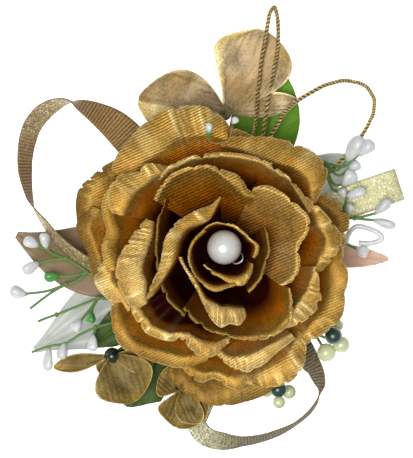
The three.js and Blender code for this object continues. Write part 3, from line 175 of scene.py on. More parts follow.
# Rose petals, layer by layer: how straight the wall is, then rim rows of azimuth in degrees and shares of
# the rose's radius, height and radius for the outer edge, the crest and the rolled lip.
ROSE_LAYERS = (
    ("rose_layer_outermost", (
        (0.3, ((128, 1, 0.2, 0.1), (139, 1.03, 0.22, 0.1), (151, 1.1, 0.22, 0.1), (159, 1.155, 0.2, 0.12),
            (168, 1.12, 0.18, 0.12), (178, 1.05, 0.16, 0.1))),
        (0.3, ((163, 1.02, 0.22, 0.08), (171, 1.1, 0.24, 0.1), (179, 1.05, 0.24, 0.1),
            (186, 1, 0.22, 0.1), (196, 1, 0.22, 0.1), (208, 0.95, 0.2, 0.08))),
        (0.3, ((198, 0.94, 0.18, 0.08), (210, 0.92, 0.2, 0.1), (222, 0.94, 0.2, 0.1),
            (236, 0.92, 0.2, 0.1), (250, 0.95, 0.18, 0.1))),
        (0.3, ((246, 1.04, 0.16, 0.08), (256, 1.13, 0.18, 0.1), (266, 1.18, 0.18, 0.12),
            (276, 1.165, 0.18, 0.12), (287, 1.13, 0.18, 0.1), (297, 1.02, 0.18, 0.08))),
        (0.3, ((292, 1, 0.2, 0.08), (306, 0.96, 0.22, 0.1), (322, 0.92, 0.22, 0.1), (338, 0.9, 0.22, 0.1),
            (354, 0.88, 0.2, 0.08))),
        (0.3, ((-10, 0.86, 0.2, 0.06), (2, 0.9, 0.22, 0.08), (13, 0.945, 0.24, 0.1),
            (22, 0.89, 0.22, 0.1), (32, 0.76, 0.2, 0.06))),
        (0.3, ((28, 0.8, 0.18, 0.06), (46, 0.84, 0.2, 0.08), (64, 0.82, 0.2, 0.08),
            (80, 0.86, 0.22, 0.08), (92, 0.91, 0.24, 0.1), (104, 0.86, 0.22, 0.08), (124, 0.9, 0.2, 0.06))),
    )),
    ("rose_layer_second", (
        (0.2, ((88, 0.9, 0.42, 0.14), (97, 1.03, 0.44, 0.2), (110, 1.09, 0.46, 0.24),
            (122, 1.08, 0.46, 0.24), (134, 1.05, 0.44, 0.2), (146, 1.01, 0.42, 0.12))),
        (0.2, ((140, 0.88, 0.4, 0.06), (150, 0.94, 0.42, 0.1), (161, 0.95, 0.42, 0.1),
            (172, 0.87, 0.44, 0.1), (180, 0.9, 0.44, 0.1), (192, 0.88, 0.42, 0.08))),
        (0.2, ((184, 0.86, 0.4, 0.06), (194, 0.98, 0.4, 0.12), (204, 0.94, 0.4, 0.12),
            (214, 0.9, 0.38, 0.08))),
        (0.2, ((208, 0.94, 0.42, 0.06), (217, 1.02, 0.44, 0.1), (226, 1.05, 0.44, 0.1),
            (238, 0.99, 0.44, 0.1), (250, 0.94, 0.44, 0.1), (262, 0.84, 0.42, 0.06))),
        (0.2, ((250, 0.93, 0.38, 0.05), (260, 1.01, 0.4, 0.08), (266, 0.97, 0.4, 0.06),
            (274, 1.05, 0.4, 0.1), (284, 0.98, 0.4, 0.06))),
        (0.2, ((278, 1, 0.42, 0.06), (286, 1.07, 0.44, 0.12), (296, 1.1, 0.46, 0.18),
            (304, 1.04, 0.46, 0.16), (312, 0.9, 0.44, 0.08))),
        (0.2, ((306, 0.9, 0.44, 0.06), (318, 0.96, 0.48, 0.12), (329, 1, 0.48, 0.14),
            (338, 0.95, 0.48, 0.14), (347, 0.93, 0.48, 0.14), (358, 0.88, 0.46, 0.1),
            (367, 0.84, 0.42, 0.06))),
        (0.2, ((26, 0.74, 0.46, 0.06), (36, 0.93, 0.5, 0.16), (47, 0.95, 0.5, 0.18),
            (58, 0.91, 0.5, 0.18), (70, 0.86, 0.48, 0.16), (82, 0.82, 0.46, 0.1), (92, 0.78, 0.42, 0.05))),
    )),
    ("rose_layer_third", (
        (0.15, ((60, 0.7, 0.66, 0.03), (76, 0.69, 0.68, 0.03), (92, 0.69, 0.68, 0.03),
            (108, 0.7, 0.68, 0.04), (122, 0.71, 0.66, 0.04), (134, 0.72, 0.62, 0.03))),
        (0.15, ((124, 0.7, 0.6, 0.05), (132, 0.82, 0.62, 0.12), (139, 0.84, 0.62, 0.12),
            (146, 0.93, 0.62, 0.18), (155, 0.93, 0.6, 0.18), (163, 0.86, 0.58, 0.1))),
        (0.1, ((160, 0.6, 0.66, 0.06), (168, 0.65, 0.68, 0.12), (177, 0.7, 0.7, 0.16),
            (186, 0.77, 0.7, 0.2), (196, 0.82, 0.7, 0.2), (206, 0.81, 0.68, 0.18), (216, 0.8, 0.66, 0.12))),
        (0.1, ((206, 0.8, 0.62, 0.05), (216, 0.82, 0.64, 0.07), (228, 0.84, 0.64, 0.07),
            (238, 0.8, 0.64, 0.07), (247, 0.75, 0.64, 0.07), (256, 0.81, 0.64, 0.12),
            (265, 0.79, 0.62, 0.1), (274, 0.68, 0.6, 0.04))),
        (0.15, ((266, 0.78, 0.56, 0.05), (273, 0.87, 0.58, 0.08), (281, 0.925, 0.6, 0.12),
            (289, 0.9, 0.6, 0.1), (298, 0.86, 0.6, 0.06), (308, 0.84, 0.58, 0.05))),
        (0.15, ((303, 0.72, 0.62, 0.05), (311, 0.76, 0.66, 0.1), (321, 0.8, 0.68, 0.14),
            (330, 0.81, 0.68, 0.14), (338, 0.74, 0.66, 0.08), (348, 0.7, 0.64, 0.05))),
        (0.2, ((342, 0.7, 0.58, 0.04), (354, 0.8, 0.6, 0.1), (364, 0.86, 0.62, 0.12),
            (373, 0.81, 0.62, 0.12), (381, 0.76, 0.6, 0.08), (392, 0.7, 0.58, 0.05))),
        (0.2, ((22, 0.69, 0.62, 0.03), (36, 0.69, 0.64, 0.03), (50, 0.69, 0.66, 0.03),
            (66, 0.7, 0.66, 0.03))),
    )),
    ("rose_layer_fourth", (
        (0.45, ((-34, 0.5, 0.84, 0.02), (-24, 0.56, 0.86, 0.03), (-12, 0.56, 0.88, 0.03),
            (0, 0.54, 0.9, 0.03), (8, 0.59, 0.92, 0.03), (17, 0.64, 0.92, 0.03), (29, 0.61, 0.92, 0.03),
            (43, 0.575, 0.9, 0.03), (55, 0.54, 0.88, 0.03), (64, 0.48, 0.84, 0.02))),
        (0.25, ((58, 0.44, 0.82, 0.03), (68, 0.45, 0.84, 0.05), (78, 0.52, 0.84, 0.1),
            (88, 0.55, 0.84, 0.06), (100, 0.6, 0.84, 0.03), (114, 0.635, 0.84, 0.03),
            (130, 0.65, 0.82, 0.03), (146, 0.62, 0.8, 0.02))),
        (0.1, ((140, 0.56, 0.74, 0.02), (160, 0.52, 0.74, 0.02), (180, 0.5, 0.74, 0.02),
            (200, 0.52, 0.74, 0.02), (220, 0.56, 0.74, 0.02), (240, 0.58, 0.74, 0.02))),
        (0.3, ((236, 0.54, 0.7, 0.02), (254, 0.6, 0.72, 0.02), (270, 0.64, 0.74, 0.02),
            (284, 0.69, 0.76, 0.03), (298, 0.73, 0.78, 0.04), (310, 0.73, 0.8, 0.04),
            (318, 0.66, 0.82, 0.03), (328, 0.56, 0.82, 0.02))),
    )),
    ("rose_inner_petals", (
        (0.1, ((94, 0.37, 0.9, 0.02), (108, 0.32, 0.93, 0.06), (124, 0.335, 0.96, 0.1),
            (140, 0.355, 0.98, 0.1), (156, 0.4, 1, 0.1), (172, 0.43, 1, 0.1), (186, 0.45, 1, 0.1),
            (198, 0.5, 0.98, 0.1), (208, 0.6, 0.94, 0.1), (214, 0.68, 0.88, 0.06))),
        (0.15, ((192, 0.34, 0.84, 0.02), (208, 0.33, 0.86, 0.02), (224, 0.34, 0.88, 0.03),
            (238, 0.37, 0.9, 0.03), (250, 0.44, 0.92, 0.05), (260, 0.53, 0.94, 0.12),
            (267, 0.57, 0.94, 0.14), (274, 0.55, 0.93, 0.12), (281, 0.57, 0.92, 0.12),
            (288, 0.52, 0.88, 0.05))),
        (0.3, ((-62, 0.38, 0.8, 0.02), (-44, 0.36, 0.82, 0.02), (-26, 0.33, 0.82, 0.02),
            (-8, 0.33, 0.82, 0.02), (10, 0.325, 0.82, 0.02), (26, 0.335, 0.82, 0.02))),
    )),
    ("rose_coil_outer", (
        (0, ((138, 0.2, 0.76, 0.015), (158, 0.225, 0.78, 0.02), (178, 0.25, 0.8, 0.02),
            (198, 0.275, 0.8, 0.02), (218, 0.29, 0.8, 0.02), (238, 0.31, 0.8, 0.03),
            (256, 0.325, 0.8, 0.04), (272, 0.3, 0.78, 0.03), (286, 0.29, 0.76, 0.02))),
    )),
    ("rose_coil_inner", (
        (0, ((-20, 0.24, 0.76, 0.03), (2, 0.25, 0.78, 0.03), (18, 0.2, 0.78, 0.02),
            (45, 0.18, 0.78, 0.01), (69, 0.183, 0.78, 0.01), (92, 0.185, 0.78, 0.01),
            (119, 0.195, 0.76, 0.01), (150, 0.2, 0.72, 0.01))),
        (0, ((-140, 0.2, 0.7, 0.01), (-118, 0.21, 0.72, 0.02), (-96, 0.23, 0.74, 0.03),
            (-78, 0.28, 0.74, 0.06), (-62, 0.31, 0.74, 0.07), (-46, 0.28, 0.74, 0.04),
            (-30, 0.24, 0.72, 0.02))),
    )),
)

# Petals that look other than the rest, by layer and place in it: how much painted shade they get (painted
# light where it is below zero), at the far side too where that differs, how fast the painted shade deepens
# down the wall, how strong the painted highlight on their frayed edge is and how much more their ribs show
PETAL_LOOKS = {
    (0, 0): {"shade": 0.35}, (0, 1): {"shade": 0.38},
    (0, 2): {"shade": 0.48, "ribs": -0.3}, (0, 3): {"shade": 0.4}, (0, 4): {"ribs": -0.1},
    (0, 5): {"ribs": 0.5}, (0, 6): {"ribs": 0.5},
    (1, 0): {"ribs": 0.4}, (1, 1): {"shade": 0.1}, (1, 2): {"shade": -0.1, "ribs": -0.2},
    (1, 3): {"shade": 0.15, "ribs": -0.3}, (1, 4): {"shade": 0.15, "ribs": -0.3},
    (1, 5): {"shade": -0.1, "ribs": -0.3}, (1, 7): {"ribs": 0.3},
    (2, 0): {"shade": -0.12, "hem": 0.2}, (2, 2): {"shade": -0.2, "shade_steepness": 1.5},
    (2, 3): {"shade": -0.2, "shade_steepness": 1.7}, (2, 4): {"shade": -0.25, "ribs": -0.3},
    (2, 5): {"shade": -0.25}, (2, 7): {"shade": -0.12, "hem": 0.25},
    (3, 0): {"shade": -0.28, "shade_steepness": 0.35, "ribs": 0.75},
    (3, 1): {"shade": 0.1, "shade_steepness": 0.6, "ribs": 0.95}, (3, 2): {"shade": 0.85, "shade_steepness": 1.5},
    (3, 3): {"shade": 0.9, "far_painted_shade": 0.1, "shade_steepness": 1.4, "hem": 1.0},
    (4, 0): {"shade_steepness": 1.3}, (4, 1): {"shade": -0.2, "shade_steepness": 2.4}, (4, 2): {"shade": 0.7},
}

# Ribs that show by more than this are cut to run straight when they are seen from above
STRAIGHT_RIBS = 0.6

# Leaves and organza: azimuth where they leave the glue bed, tip in shares of the spray, width in millimetres
# and the form of the blade between
LEAVES = (
    ("green_leaf_top", 68, (0.255, 0.907, 0.15), 20.7,
     {"widest": 0.55, "bow": -0.06, "arch": -0.03, "cup": -0.1}),
    ("green_leaf_left", 221, (-0.65, -0.49, 0.26), 11.16, {"widest": 0.62, "arch": 0.055, "cup": -0.1}),
    ("green_leaf_serrated", 238, (-0.5, -0.79, 0.16), 20.7, {"widest": 0.7, "cup": -0.1, "teeth": 6}),
    ("satin_leaf_left", 186, (-1.036, 0.061, 0.1), 21.6,
     {"widest": 0.45, "bow": 0.22, "arch": 0.045, "cup": 0.1, "fullness": 1.1}),
    ("satin_leaf_right", -4, (0.823, -0.063, 0.2), 7.2, {"widest": 0.55, "cup": 0.1}),
)
ORGANZA_PIECES = (
    ("organza_left", 208, (-0.95, -0.52, -0.05), 21.6, {"widest": 0.45, "fullness": 1.3, "pleats": 3}),
    ("organza_right", 38, (0.63, 0.45, 0.08), 12.6, {"widest": 0.6, "pleats": 2}),
)

# Florets: hub, then petals: tip in shares of the spray, width as a share of the widest petal, the shares of
# its cup, its arch, its widest place and its bow, and from where across it its hem is turned over
FLORETS = (
    ("floret_top", 92, (0, 0.667, 0.33), (
        ((0.19, 1.075, 0.44), 1, 0.12, -0.1, 0.66, -0.1),
        ((-0.4225, 0.7255, 0.55), 0.9, 0.25, -0.05, 0.5, 0, -0.05),
        ((0.3627, 0.735, 0.22), 0.3, 0.1, -0.05, 0.62, 0),
        ((-0.22, 0.5, 0.36), 0.4, 0.1, 0, 0.62, 0),
    )),
    ("floret_left", 237, (-0.553, -0.54, 0.42), (
        ((-0.44, -0.765, 0.48), 0.76, 0.3, -0.05, 0.52, 0),
        ((-0.35, -0.58, 0.36), 0.3, 0.2, 0, 0.62, 0),
        ((-0.59, -0.65, 0.3), 0.3, 0.2, 0, 0.62, 0),
        ((-0.845, -0.6, 0.3), 0.22, 0.2, 0, 0.62, 0),
    )),
    ("floret_bottom", 241, (-0.2, -0.7, 0.42), (
        ((-0.235, -0.895, 0.46), 0.58, 0.3, 0, 0.6, 0.1),
        ((-0.1, -0.86, 0.5), 0.46, 0.25, 0, 0.55, -0.1),
        ((-0.31, -0.625, 0.4), 0.5, 0.2, 0, 0.6, 0),
    )),
)

# Ribbons: rows of place in shares of the spray, height above the seat as a share of the width and tilt in
# degrees, then the share of glitter at each row; the rest of a ribbon shows its brown ribs
RIBBONS = (
    ("ribbon_loop_left", ((-0.145, 0.17, 0, 0), (-0.3, 0.35, 0, 0), (-0.457, 0.52, 0, 0),
        (-0.54, 0.603, 0.05, -24), (-0.63, 0.665, 0.1, -49), (-0.715, 0.708, 0.15, -70),
        (-0.77, 0.725, 0.15, -92), (-0.84, 0.707, 0.15, -108), (-0.9, 0.668, 0.15, -116),
        (-0.952, 0.603, 0.15, -117), (-0.978, 0.527, 0.15, -115), (-0.99, 0.447, 0.15, -111),
        (-0.99, 0.377, 0.15, -109), (-0.98, 0.303, 0.15, -102), (-0.963, 0.235, 0.2, -95),
        (-0.937, 0.18, 0.3, -84), (-0.892, 0.12, 0.4, -77), (-0.828, 0.04, 0.48, -73),
        (-0.755, -0.028, 0.48, -69), (-0.667, -0.09, 0.36, -60), (-0.45, -0.06, 0, -10),
        (-0.232, -0.024, 0, 0)),
     (0, 0, 0, 0, 0, 0, 0.8, 1, 1, 0.8, 0.35, 0.1, 0, 0, 0.1, 0.7, 1, 1, 1, 1, 1, 1)),
    ("ribbon_loop_bottom", ((-0.045, -0.229, 0, 0), (-0.075, -0.5, 0, 0), (-0.115, -0.73, 0.15, -20),
        (-0.137, -0.88, 0, -55), (-0.09, -0.947, 0, -52), (0.002, -0.973, 0, -55), (0.09, -0.973, 0, -69),
        (0.188, -0.957, 0, -73), (0.277, -0.927, 0, -75), (0.358, -0.885, 0, -80),
        (0.427, -0.828, 0, -80), (0.463, -0.777, 0, -82), (0.48, -0.723, 0, -90), (0.48, -0.687, 0, -105),
        (0.47, -0.65, 0, -112), (0.457, -0.615, 0, -116), (0.438, -0.588, 0, -122),
        (0.28, -0.37, 0, -165), (0.143, -0.184, 0, -180)),
     (1, 1, 1, 1, 0.9, 0.35, 0, 0, 0, 0, 0, 0, 0, 0, 0, 0, 0, 0, 0)),
    ("ribbon_tail_right", ((0.221, 0.076, 0, 0), (0.65, 0.233, 0.1, -8), (0.877, 0.312, 0.2, -16)),
     (1, 1, 1)),
)

# Cord loops: azimuths of the two ends, then places in sixtieths of the spray's radius and, upwards, in
# twentieths of its rise
CORD_PARTS = 60
CORD_LOOPS = (
    ("cord_loop_tall", (67.7, 78), ((9, 25, 3.3), (11.5, 32.4, 3.9), (12.5, 38.5, 5.2), (13.5, 44.7, 6.5),
        (14.4, 50, 7.7), (15.3, 55, 8.7), (16, 59.4, 9.4), (16.2, 63.8, 9.9), (15.9, 68.2, 10.2),
        (15, 71.2, 10.2), (13.8, 69.7, 10.2), (12.9, 65.3, 10.1), (12.1, 60.3, 9.7), (11.2, 55, 9.1),
        (10.6, 49.7, 8.1), (10, 44.7, 6.9), (9.9, 40.3, 5.7), (9.4, 35.9, 4.5), (8.6, 32.4, 4.1),
        (6.3, 25, 3.5))),
    ("cord_loop_wide", (59.8, 34.2), ((11, 23.5, 3.7), (13.6, 32.2, 4.7), (15.9, 36.2, 5.1),
        (17.9, 39.7, 6.1), (20, 41.8, 6.9), (22.4, 43.8, 7.7), (25.9, 45.9, 8.5), (29.7, 47.9, 9.1),
        (32.6, 48.8, 9.4), (35.6, 49.4, 9.7), (38.2, 49.1, 9.9), (40.6, 48.5, 9.9), (42.5, 47.4, 9.9),
        (43.8, 45.6, 9.9), (44.7, 43.8, 9.7), (44.7, 41.8, 9.4), (44.4, 39.4, 8.9), (43.5, 37.4, 8.3),
        (41.8, 34.1, 7.3), (38.5, 29.7, 5.9), (35, 25.6, 5.1), (32.6, 23.2, 4.7), (30.3, 20.9, 4.4),
        (20, 14.5, 4))),
)

# Bud sprays: trunk, wires and buds, in shares of the spray, or of the rose for the one marked True; a bud
# row ends in its size
SPRAYS = (
    ("bud_spray_left_upper", 208, False, ((-0.467, -0.175, 0.22), (-0.6, -0.16, 0.32),
        (-0.681, -0.127, 0.35)), (
        ((-0.681, -0.127, 0.35), (-0.725, -0.093, 0.37), (-0.784, -0.059, 0.4)),
        ((-0.784, -0.059, 0.4), (-0.86, -0.02, 0.46), (-0.922, 0.005, 0.5)),
        ((-0.784, -0.059, 0.4), (-0.853, -0.03, 0.5), (-0.877, 0, 0.56)),
        ((-0.784, -0.059, 0.4), (-0.86, -0.066, 0.4), (-0.922, -0.083, 0.42)),
        ((-0.681, -0.127, 0.35), (-0.74, -0.143, 0.36), (-0.824, -0.147, 0.37)),
        ((-0.681, -0.127, 0.35), (-0.73, -0.17, 0.3), (-0.784, -0.186, 0.3)),
        ((-0.784, -0.186, 0.3), (-0.877, -0.22, 0.33), (-0.995, -0.235, 0.36)),
        ((-0.784, -0.186, 0.3), (-0.868, -0.235, 0.26), (-0.966, -0.309, 0.24)),
    ), (
        ((-0.922, 0.005, 0.5), (-0.99, 0.036, 0.55), 1.25),
        ((-0.877, 0, 0.56), (-0.892, 0.07, 0.62), 1.2),
        ((-0.922, -0.083, 0.42), (-1, -0.123, 0.45), 1.35),
        ((-0.824, -0.147, 0.37), (-0.895, -0.15, 0.38), 1.2),
        ((-0.985, -0.235, 0.36), (-1.065, -0.217, 0.37), 1.5),
    )),
    ("bud_spray_left_middle", 213, False, ((-0.45, -0.26, 0.22), (-0.623, -0.255, 0.3)), (
        ((-0.623, -0.255, 0.3), (-0.735, -0.299, 0.3), (-0.833, -0.338, 0.3)),
        ((-0.833, -0.338, 0.3), (-0.88, -0.354, 0.3), (-0.926, -0.373, 0.31)),
        ((-0.623, -0.255, 0.3), (-0.65, -0.3, 0.36), (-0.657, -0.33, 0.42)),
        ((-0.623, -0.255, 0.3), (-0.68, -0.33, 0.34), (-0.712, -0.37, 0.38)),
    ), (
        ((-0.657, -0.33, 0.42), (-0.66, -0.38, 0.48), 1.1),
        ((-0.712, -0.37, 0.38), (-0.75, -0.42, 0.41), 1.3),
    )),
    ("bud_spray_left_lower", 226, False, ((-0.5, -0.36, 0.3), (-0.637, -0.4, 0.38)), (
        ((-0.637, -0.4, 0.38), (-0.72, -0.44, 0.36), (-0.789, -0.485, 0.34)),
        ((-0.789, -0.485, 0.34), (-0.868, -0.495, 0.33), (-0.956, -0.525, 0.33)),
        ((-0.637, -0.4, 0.38), (-0.643, -0.43, 0.42), (-0.647, -0.45, 0.46)),
    ), (
        ((-0.789, -0.485, 0.34), (-0.81, -0.56, 0.42), 1.3),
        ((-0.868, -0.505, 0.34), (-0.875, -0.62, 0.4), 1.2),
        ((-0.647, -0.44, 0.45), (-0.652, -0.52, 0.5), 1.2),
    )),
    ("bud_spray_right_upper", 52, False, ((0.34, 0.36, 0.2), (0.5, 0.42, 0.3)), (
        ((0.5, 0.42, 0.3), (0.56, 0.38, 0.38), (0.608, 0.426, 0.45)),
        ((0.5, 0.42, 0.3), (0.6, 0.4, 0.4), (0.667, 0.456, 0.5)),
        ((0.5, 0.42, 0.3), (0.57, 0.355, 0.34), (0.627, 0.387, 0.4)),
        ((0.5, 0.42, 0.3), (0.55, 0.31, 0.34), (0.592, 0.309, 0.4)),
        ((0.5, 0.42, 0.3), (0.54, 0.29, 0.33), (0.575, 0.268, 0.38)),
    ), (
        ((0.608, 0.426, 0.45), (0.685, 0.545, 0.6), 1.8),
        ((0.667, 0.456, 0.5), (0.74, 0.52, 0.6), 1.6),
        ((0.627, 0.387, 0.4), (0.676, 0.417, 0.46), 1.3),
        ((0.592, 0.309, 0.4), (0.65, 0.375, 0.5), 1.7),
        ((0.575, 0.268, 0.38), (0.61, 0.27, 0.42), 1.1),
    )),
    ("bud_spray_right_middle", 0, False, ((0.5, 0.05, 0.2), (0.593, 0.14, 0.32)), (
        ((0.593, 0.14, 0.32), (0.625, 0.142, 0.335), (0.652, 0.142, 0.35)),
        ((0.593, 0.14, 0.32), (0.6, 0.2, 0.36), (0.613, 0.25, 0.4)),
        ((0.593, 0.14, 0.32), (0.61, 0.165, 0.36), (0.618, 0.178, 0.4)),
        ((0.652, 0.142, 0.35), (0.7, 0.152, 0.36), (0.76, 0.168, 0.4)),
        ((0.652, 0.142, 0.35), (0.7, 0.136, 0.36), (0.745, 0.132, 0.38)),
    ), (
        ((0.613, 0.25, 0.4), (0.705, 0.28, 0.46), 1.1),
        ((0.618, 0.178, 0.4), (0.64, 0.21, 0.44), 1),
        ((0.755, 0.167, 0.4), (0.824, 0.23, 0.5), 1.2),
        ((0.745, 0.132, 0.38), (0.855, 0.102, 0.42), 1.1),
    )),
    ("bud_spray_right_lower", -10, False, ((0.45, -0.03, 0.2), (0.608, 0.02, 0.28)), (
        ((0.608, 0.02, 0.28), (0.64, 0, 0.3), (0.67, -0.014, 0.33)),
        ((0.608, 0.02, 0.28), (0.625, 0.07, 0.36), (0.66, 0.1, 0.4), (0.72, 0.09, 0.42),
            (0.775, 0.062, 0.42), (0.785, 0.04, 0.42), (0.73, 0.017, 0.4), (0.67, 0.02, 0.38)),
    ), (
        ((0.665, -0.012, 0.32), (0.72, -0.036, 0.36), 1.4),
    )),
    ("bud_pair_top", 84, True, ((0.053, 0.675, -0.127), (0.06, 0.81, -0.047), (0.063, 0.88, 0.05),
        (0.065, 0.925, 0.15), (0.065, 0.928, 0.28), (0.065, 0.92, 0.4)), (
        ((0.065, 0.92, 0.4), (0.055, 0.855, 0.503), (0.03, 0.78, 0.513), (-0.04, 0.758, 0.483),
            (-0.105, 0.77, 0.483), (-0.11, 0.815, 0.527)),
    ), (
        ((-0.11, 0.81, 0.52), (-0.11, 0.905, 0.58), 0.8),
        ((0.06, 0.915, 0.42), (0.093, 0.932, 0.517), 0.8),
    )),
)

# Buds that are green instead of white, and wires that are coated white like the buds and curl
GREEN_BUDS = {("bud_spray_left_upper", 3), ("bud_spray_left_middle", 0)}
WHITE_CURLS = {("bud_spray_right_lower", 1)}

# Berries: trunk in shares of the spray, the bead at its azimuth in shares of the rose, then the joint and
# the berries from the bead, in berry diameters; a berry's row ends in its size
BERRIES = (
    ("berries_right", -33, ((0.38, -0.36, 0.2),),
     ("bead_right", -39, (1.042, 0.207), 1),
     (-1.037, 0.083, -1.387),
     ((-0.344, -1.013, -1.002, 1.08), (0.498, -0.552, -0.848, 0.96), (0.29, 0.544, -1.002, 0.7))),
    ("berries_bottom", -76, ((0.16, -0.5, 0.2),),
     ("bead_bottom", -69.1, (1.135, 0.04), 0.94),
     (-0.346, 0.54, -0.423),
     ((0.058, -0.787, -0.654, 0.74), (0.635, -0.21, -0.923, 0.84), (-0.635, -0.152, -0.923, 0.76))),
)


def mix(a, b, t):
    return a + (b - a) * t


def clamp(value):
    return min(max(value, 0.0), 1.0)


def polar(azimuth, radius, height):
    turn = math.radians(azimuth)
    return Vector((radius * math.cos(turn), radius * math.sin(turn), height))


def spray_point(shares):
    x, y, z = shares
    return Vector((x * SPRAY_RADIUS, y * SPRAY_RADIUS, PAD_TOP + z * SPRAY_RISE))


def rose_point(shares):
    x, y, z = shares
    return Vector((x * ROSE_RADIUS, y * ROSE_RADIUS, ROSE_BASE + z * ROSE_HEIGHT))


def butt(azimuth, level):
    """Where a stem, leaf or cord goes into the glue bed."""
    return polar(azimuth, BUTT_RADIUS, level)


def disc_radius(level):
    """Radius of the disc that carries a rose layer's petals."""
    return SMALLEST_DISC + (len(ROSE_LAYERS) - 1 - level) * LAYER_STEP


def layer_level(level):
    return ROSE_BASE + level * LAYER_STEP + PETAL / 2


def wobble(point, seed, scale):
    """Smooth noise from -1 to 1 at a point in millimetres, with its own pattern for each seed."""
    return noise.noise(point / scale + Vector((seed * 7.3, seed * 3.1, seed * 5.7)))


# Curves


def bezier(p0, p1, p2, p3, t):
    s = 1 - t
    return s * s * s * p0 + 3 * s * s * t * p1 + 3 * s * t * t * p2 + t * t * t * p3


def rim_at(rim, t):
    """The rim's row at t from 0 to 1, on a smooth curve through its rows."""
    last = len(rim) - 1
    place = t * last
    k = min(int(place), last - 1)
    s = place - k
    p0, p1, p2, p3 = (rim[min(max(n, 0), last)] for n in (k - 1, k, k + 1, k + 2))
    row = []
    for a, b, c, d in zip(p0, p1, p2, p3):
        bend = (2 * a - 5 * b + 4 * c - d) * s * s + (3 * b - a - 3 * c + d) * s * s * s
        row.append(b + 0.5 * ((c - a) * s + bend))
    return row


def route_at(points, t):
    """A point of the smooth route through the points, with even bends, as the part's source draws it."""
    last = len(points) - 1
    place = t * last
    k = min(int(place), last - 1)
    s = place - k
    p1, p2 = points[k], points[k + 1]
    p0 = points[k - 1] if k else 2 * p1 - p2
    p3 = points[k + 2] if k + 2 <= last else 2 * p2 - p1
    d0, d1, d2 = ((b - a).length ** 0.5 or 1.0 for a, b in ((p0, p1), (p1, p2), (p2, p3)))
    out = ((p1 - p0) / d0 - (p2 - p0) / (d0 + d1) + (p2 - p1) / d1) * d1
    into = ((p2 - p1) / d1 - (p3 - p1) / (d1 + d2) + (p3 - p2) / d2) * d1
    return p1 + out * s + (3 * (p2 - p1) - 2 * out - into) * s * s + (2 * (p1 - p2) + out + into) * s ** 3


def route_places(points, steps):
    return [route_at(points, k / steps) for k in range(steps + 1)]


def route_frames(points, steps):
    """Places along a route with two directions across it that don't twist."""
    places = route_places(points, steps)
    frames = []
    across = None
    for k, place in enumerate(places):
        ahead = (places[min(k + 1, steps)] - places[max(k - 1, 0)]).normalized()
        if across is None:
            across = ahead.orthogonal().normalized()
        across = (across - ahead * across.dot(ahead)).normalized()
        frames.append((place, across, ahead.cross(across)))
    return frames


def lengths_along(places):
    total = [0.0]
    for a, b in zip(places, places[1:]):
        total.append(total[-1] + (b - a).length)
    return total


def band_line(share):
    """A place on the relaxed band's middle line, from the middle of its top round to there, in millimetres:
    straight runs with a quarter turn after each, as complex numbers of x and z."""
    corner = BAND_CORNER + BAND_THICKNESS / 2
    flat = (BAND_LOOP_WIDTH + BAND_THICKNESS) / 2 - corner
    side = BAND_LOOP_DEPTH + BAND_THICKNESS - 2 * corner
    quarter = math.pi / 2 * corner
    left = share * (4 * flat + 2 * side + 4 * quarter)
    place, ahead = complex(0, BAND_THICKNESS / 2), 1
    for run in (flat, side, 2 * flat, side, flat):
        place += ahead * min(left, run)
        left -= run
        if left <= 0:
            break
        turn = min(left / corner, math.pi / 2)
        place += corner * (ahead * math.sin(turn) - 1j * ahead * (1 - math.cos(turn)))
        ahead *= -1j
        left -= quarter
        if left <= 0:
            break
    return place.real, place.imag


# Sheets and tubes


def add_object(name, data, place=(0, 0, 0)):
    made = bpy.data.objects.new(name, data)
    made.location = place
    bpy.context.collection.objects.link(made)
    return made


def dress_solid(name, material):
    """Gives a solid that is seen as the part's source made it its material."""
    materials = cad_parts[name].data.materials
    materials.clear()
    materials.append(material)


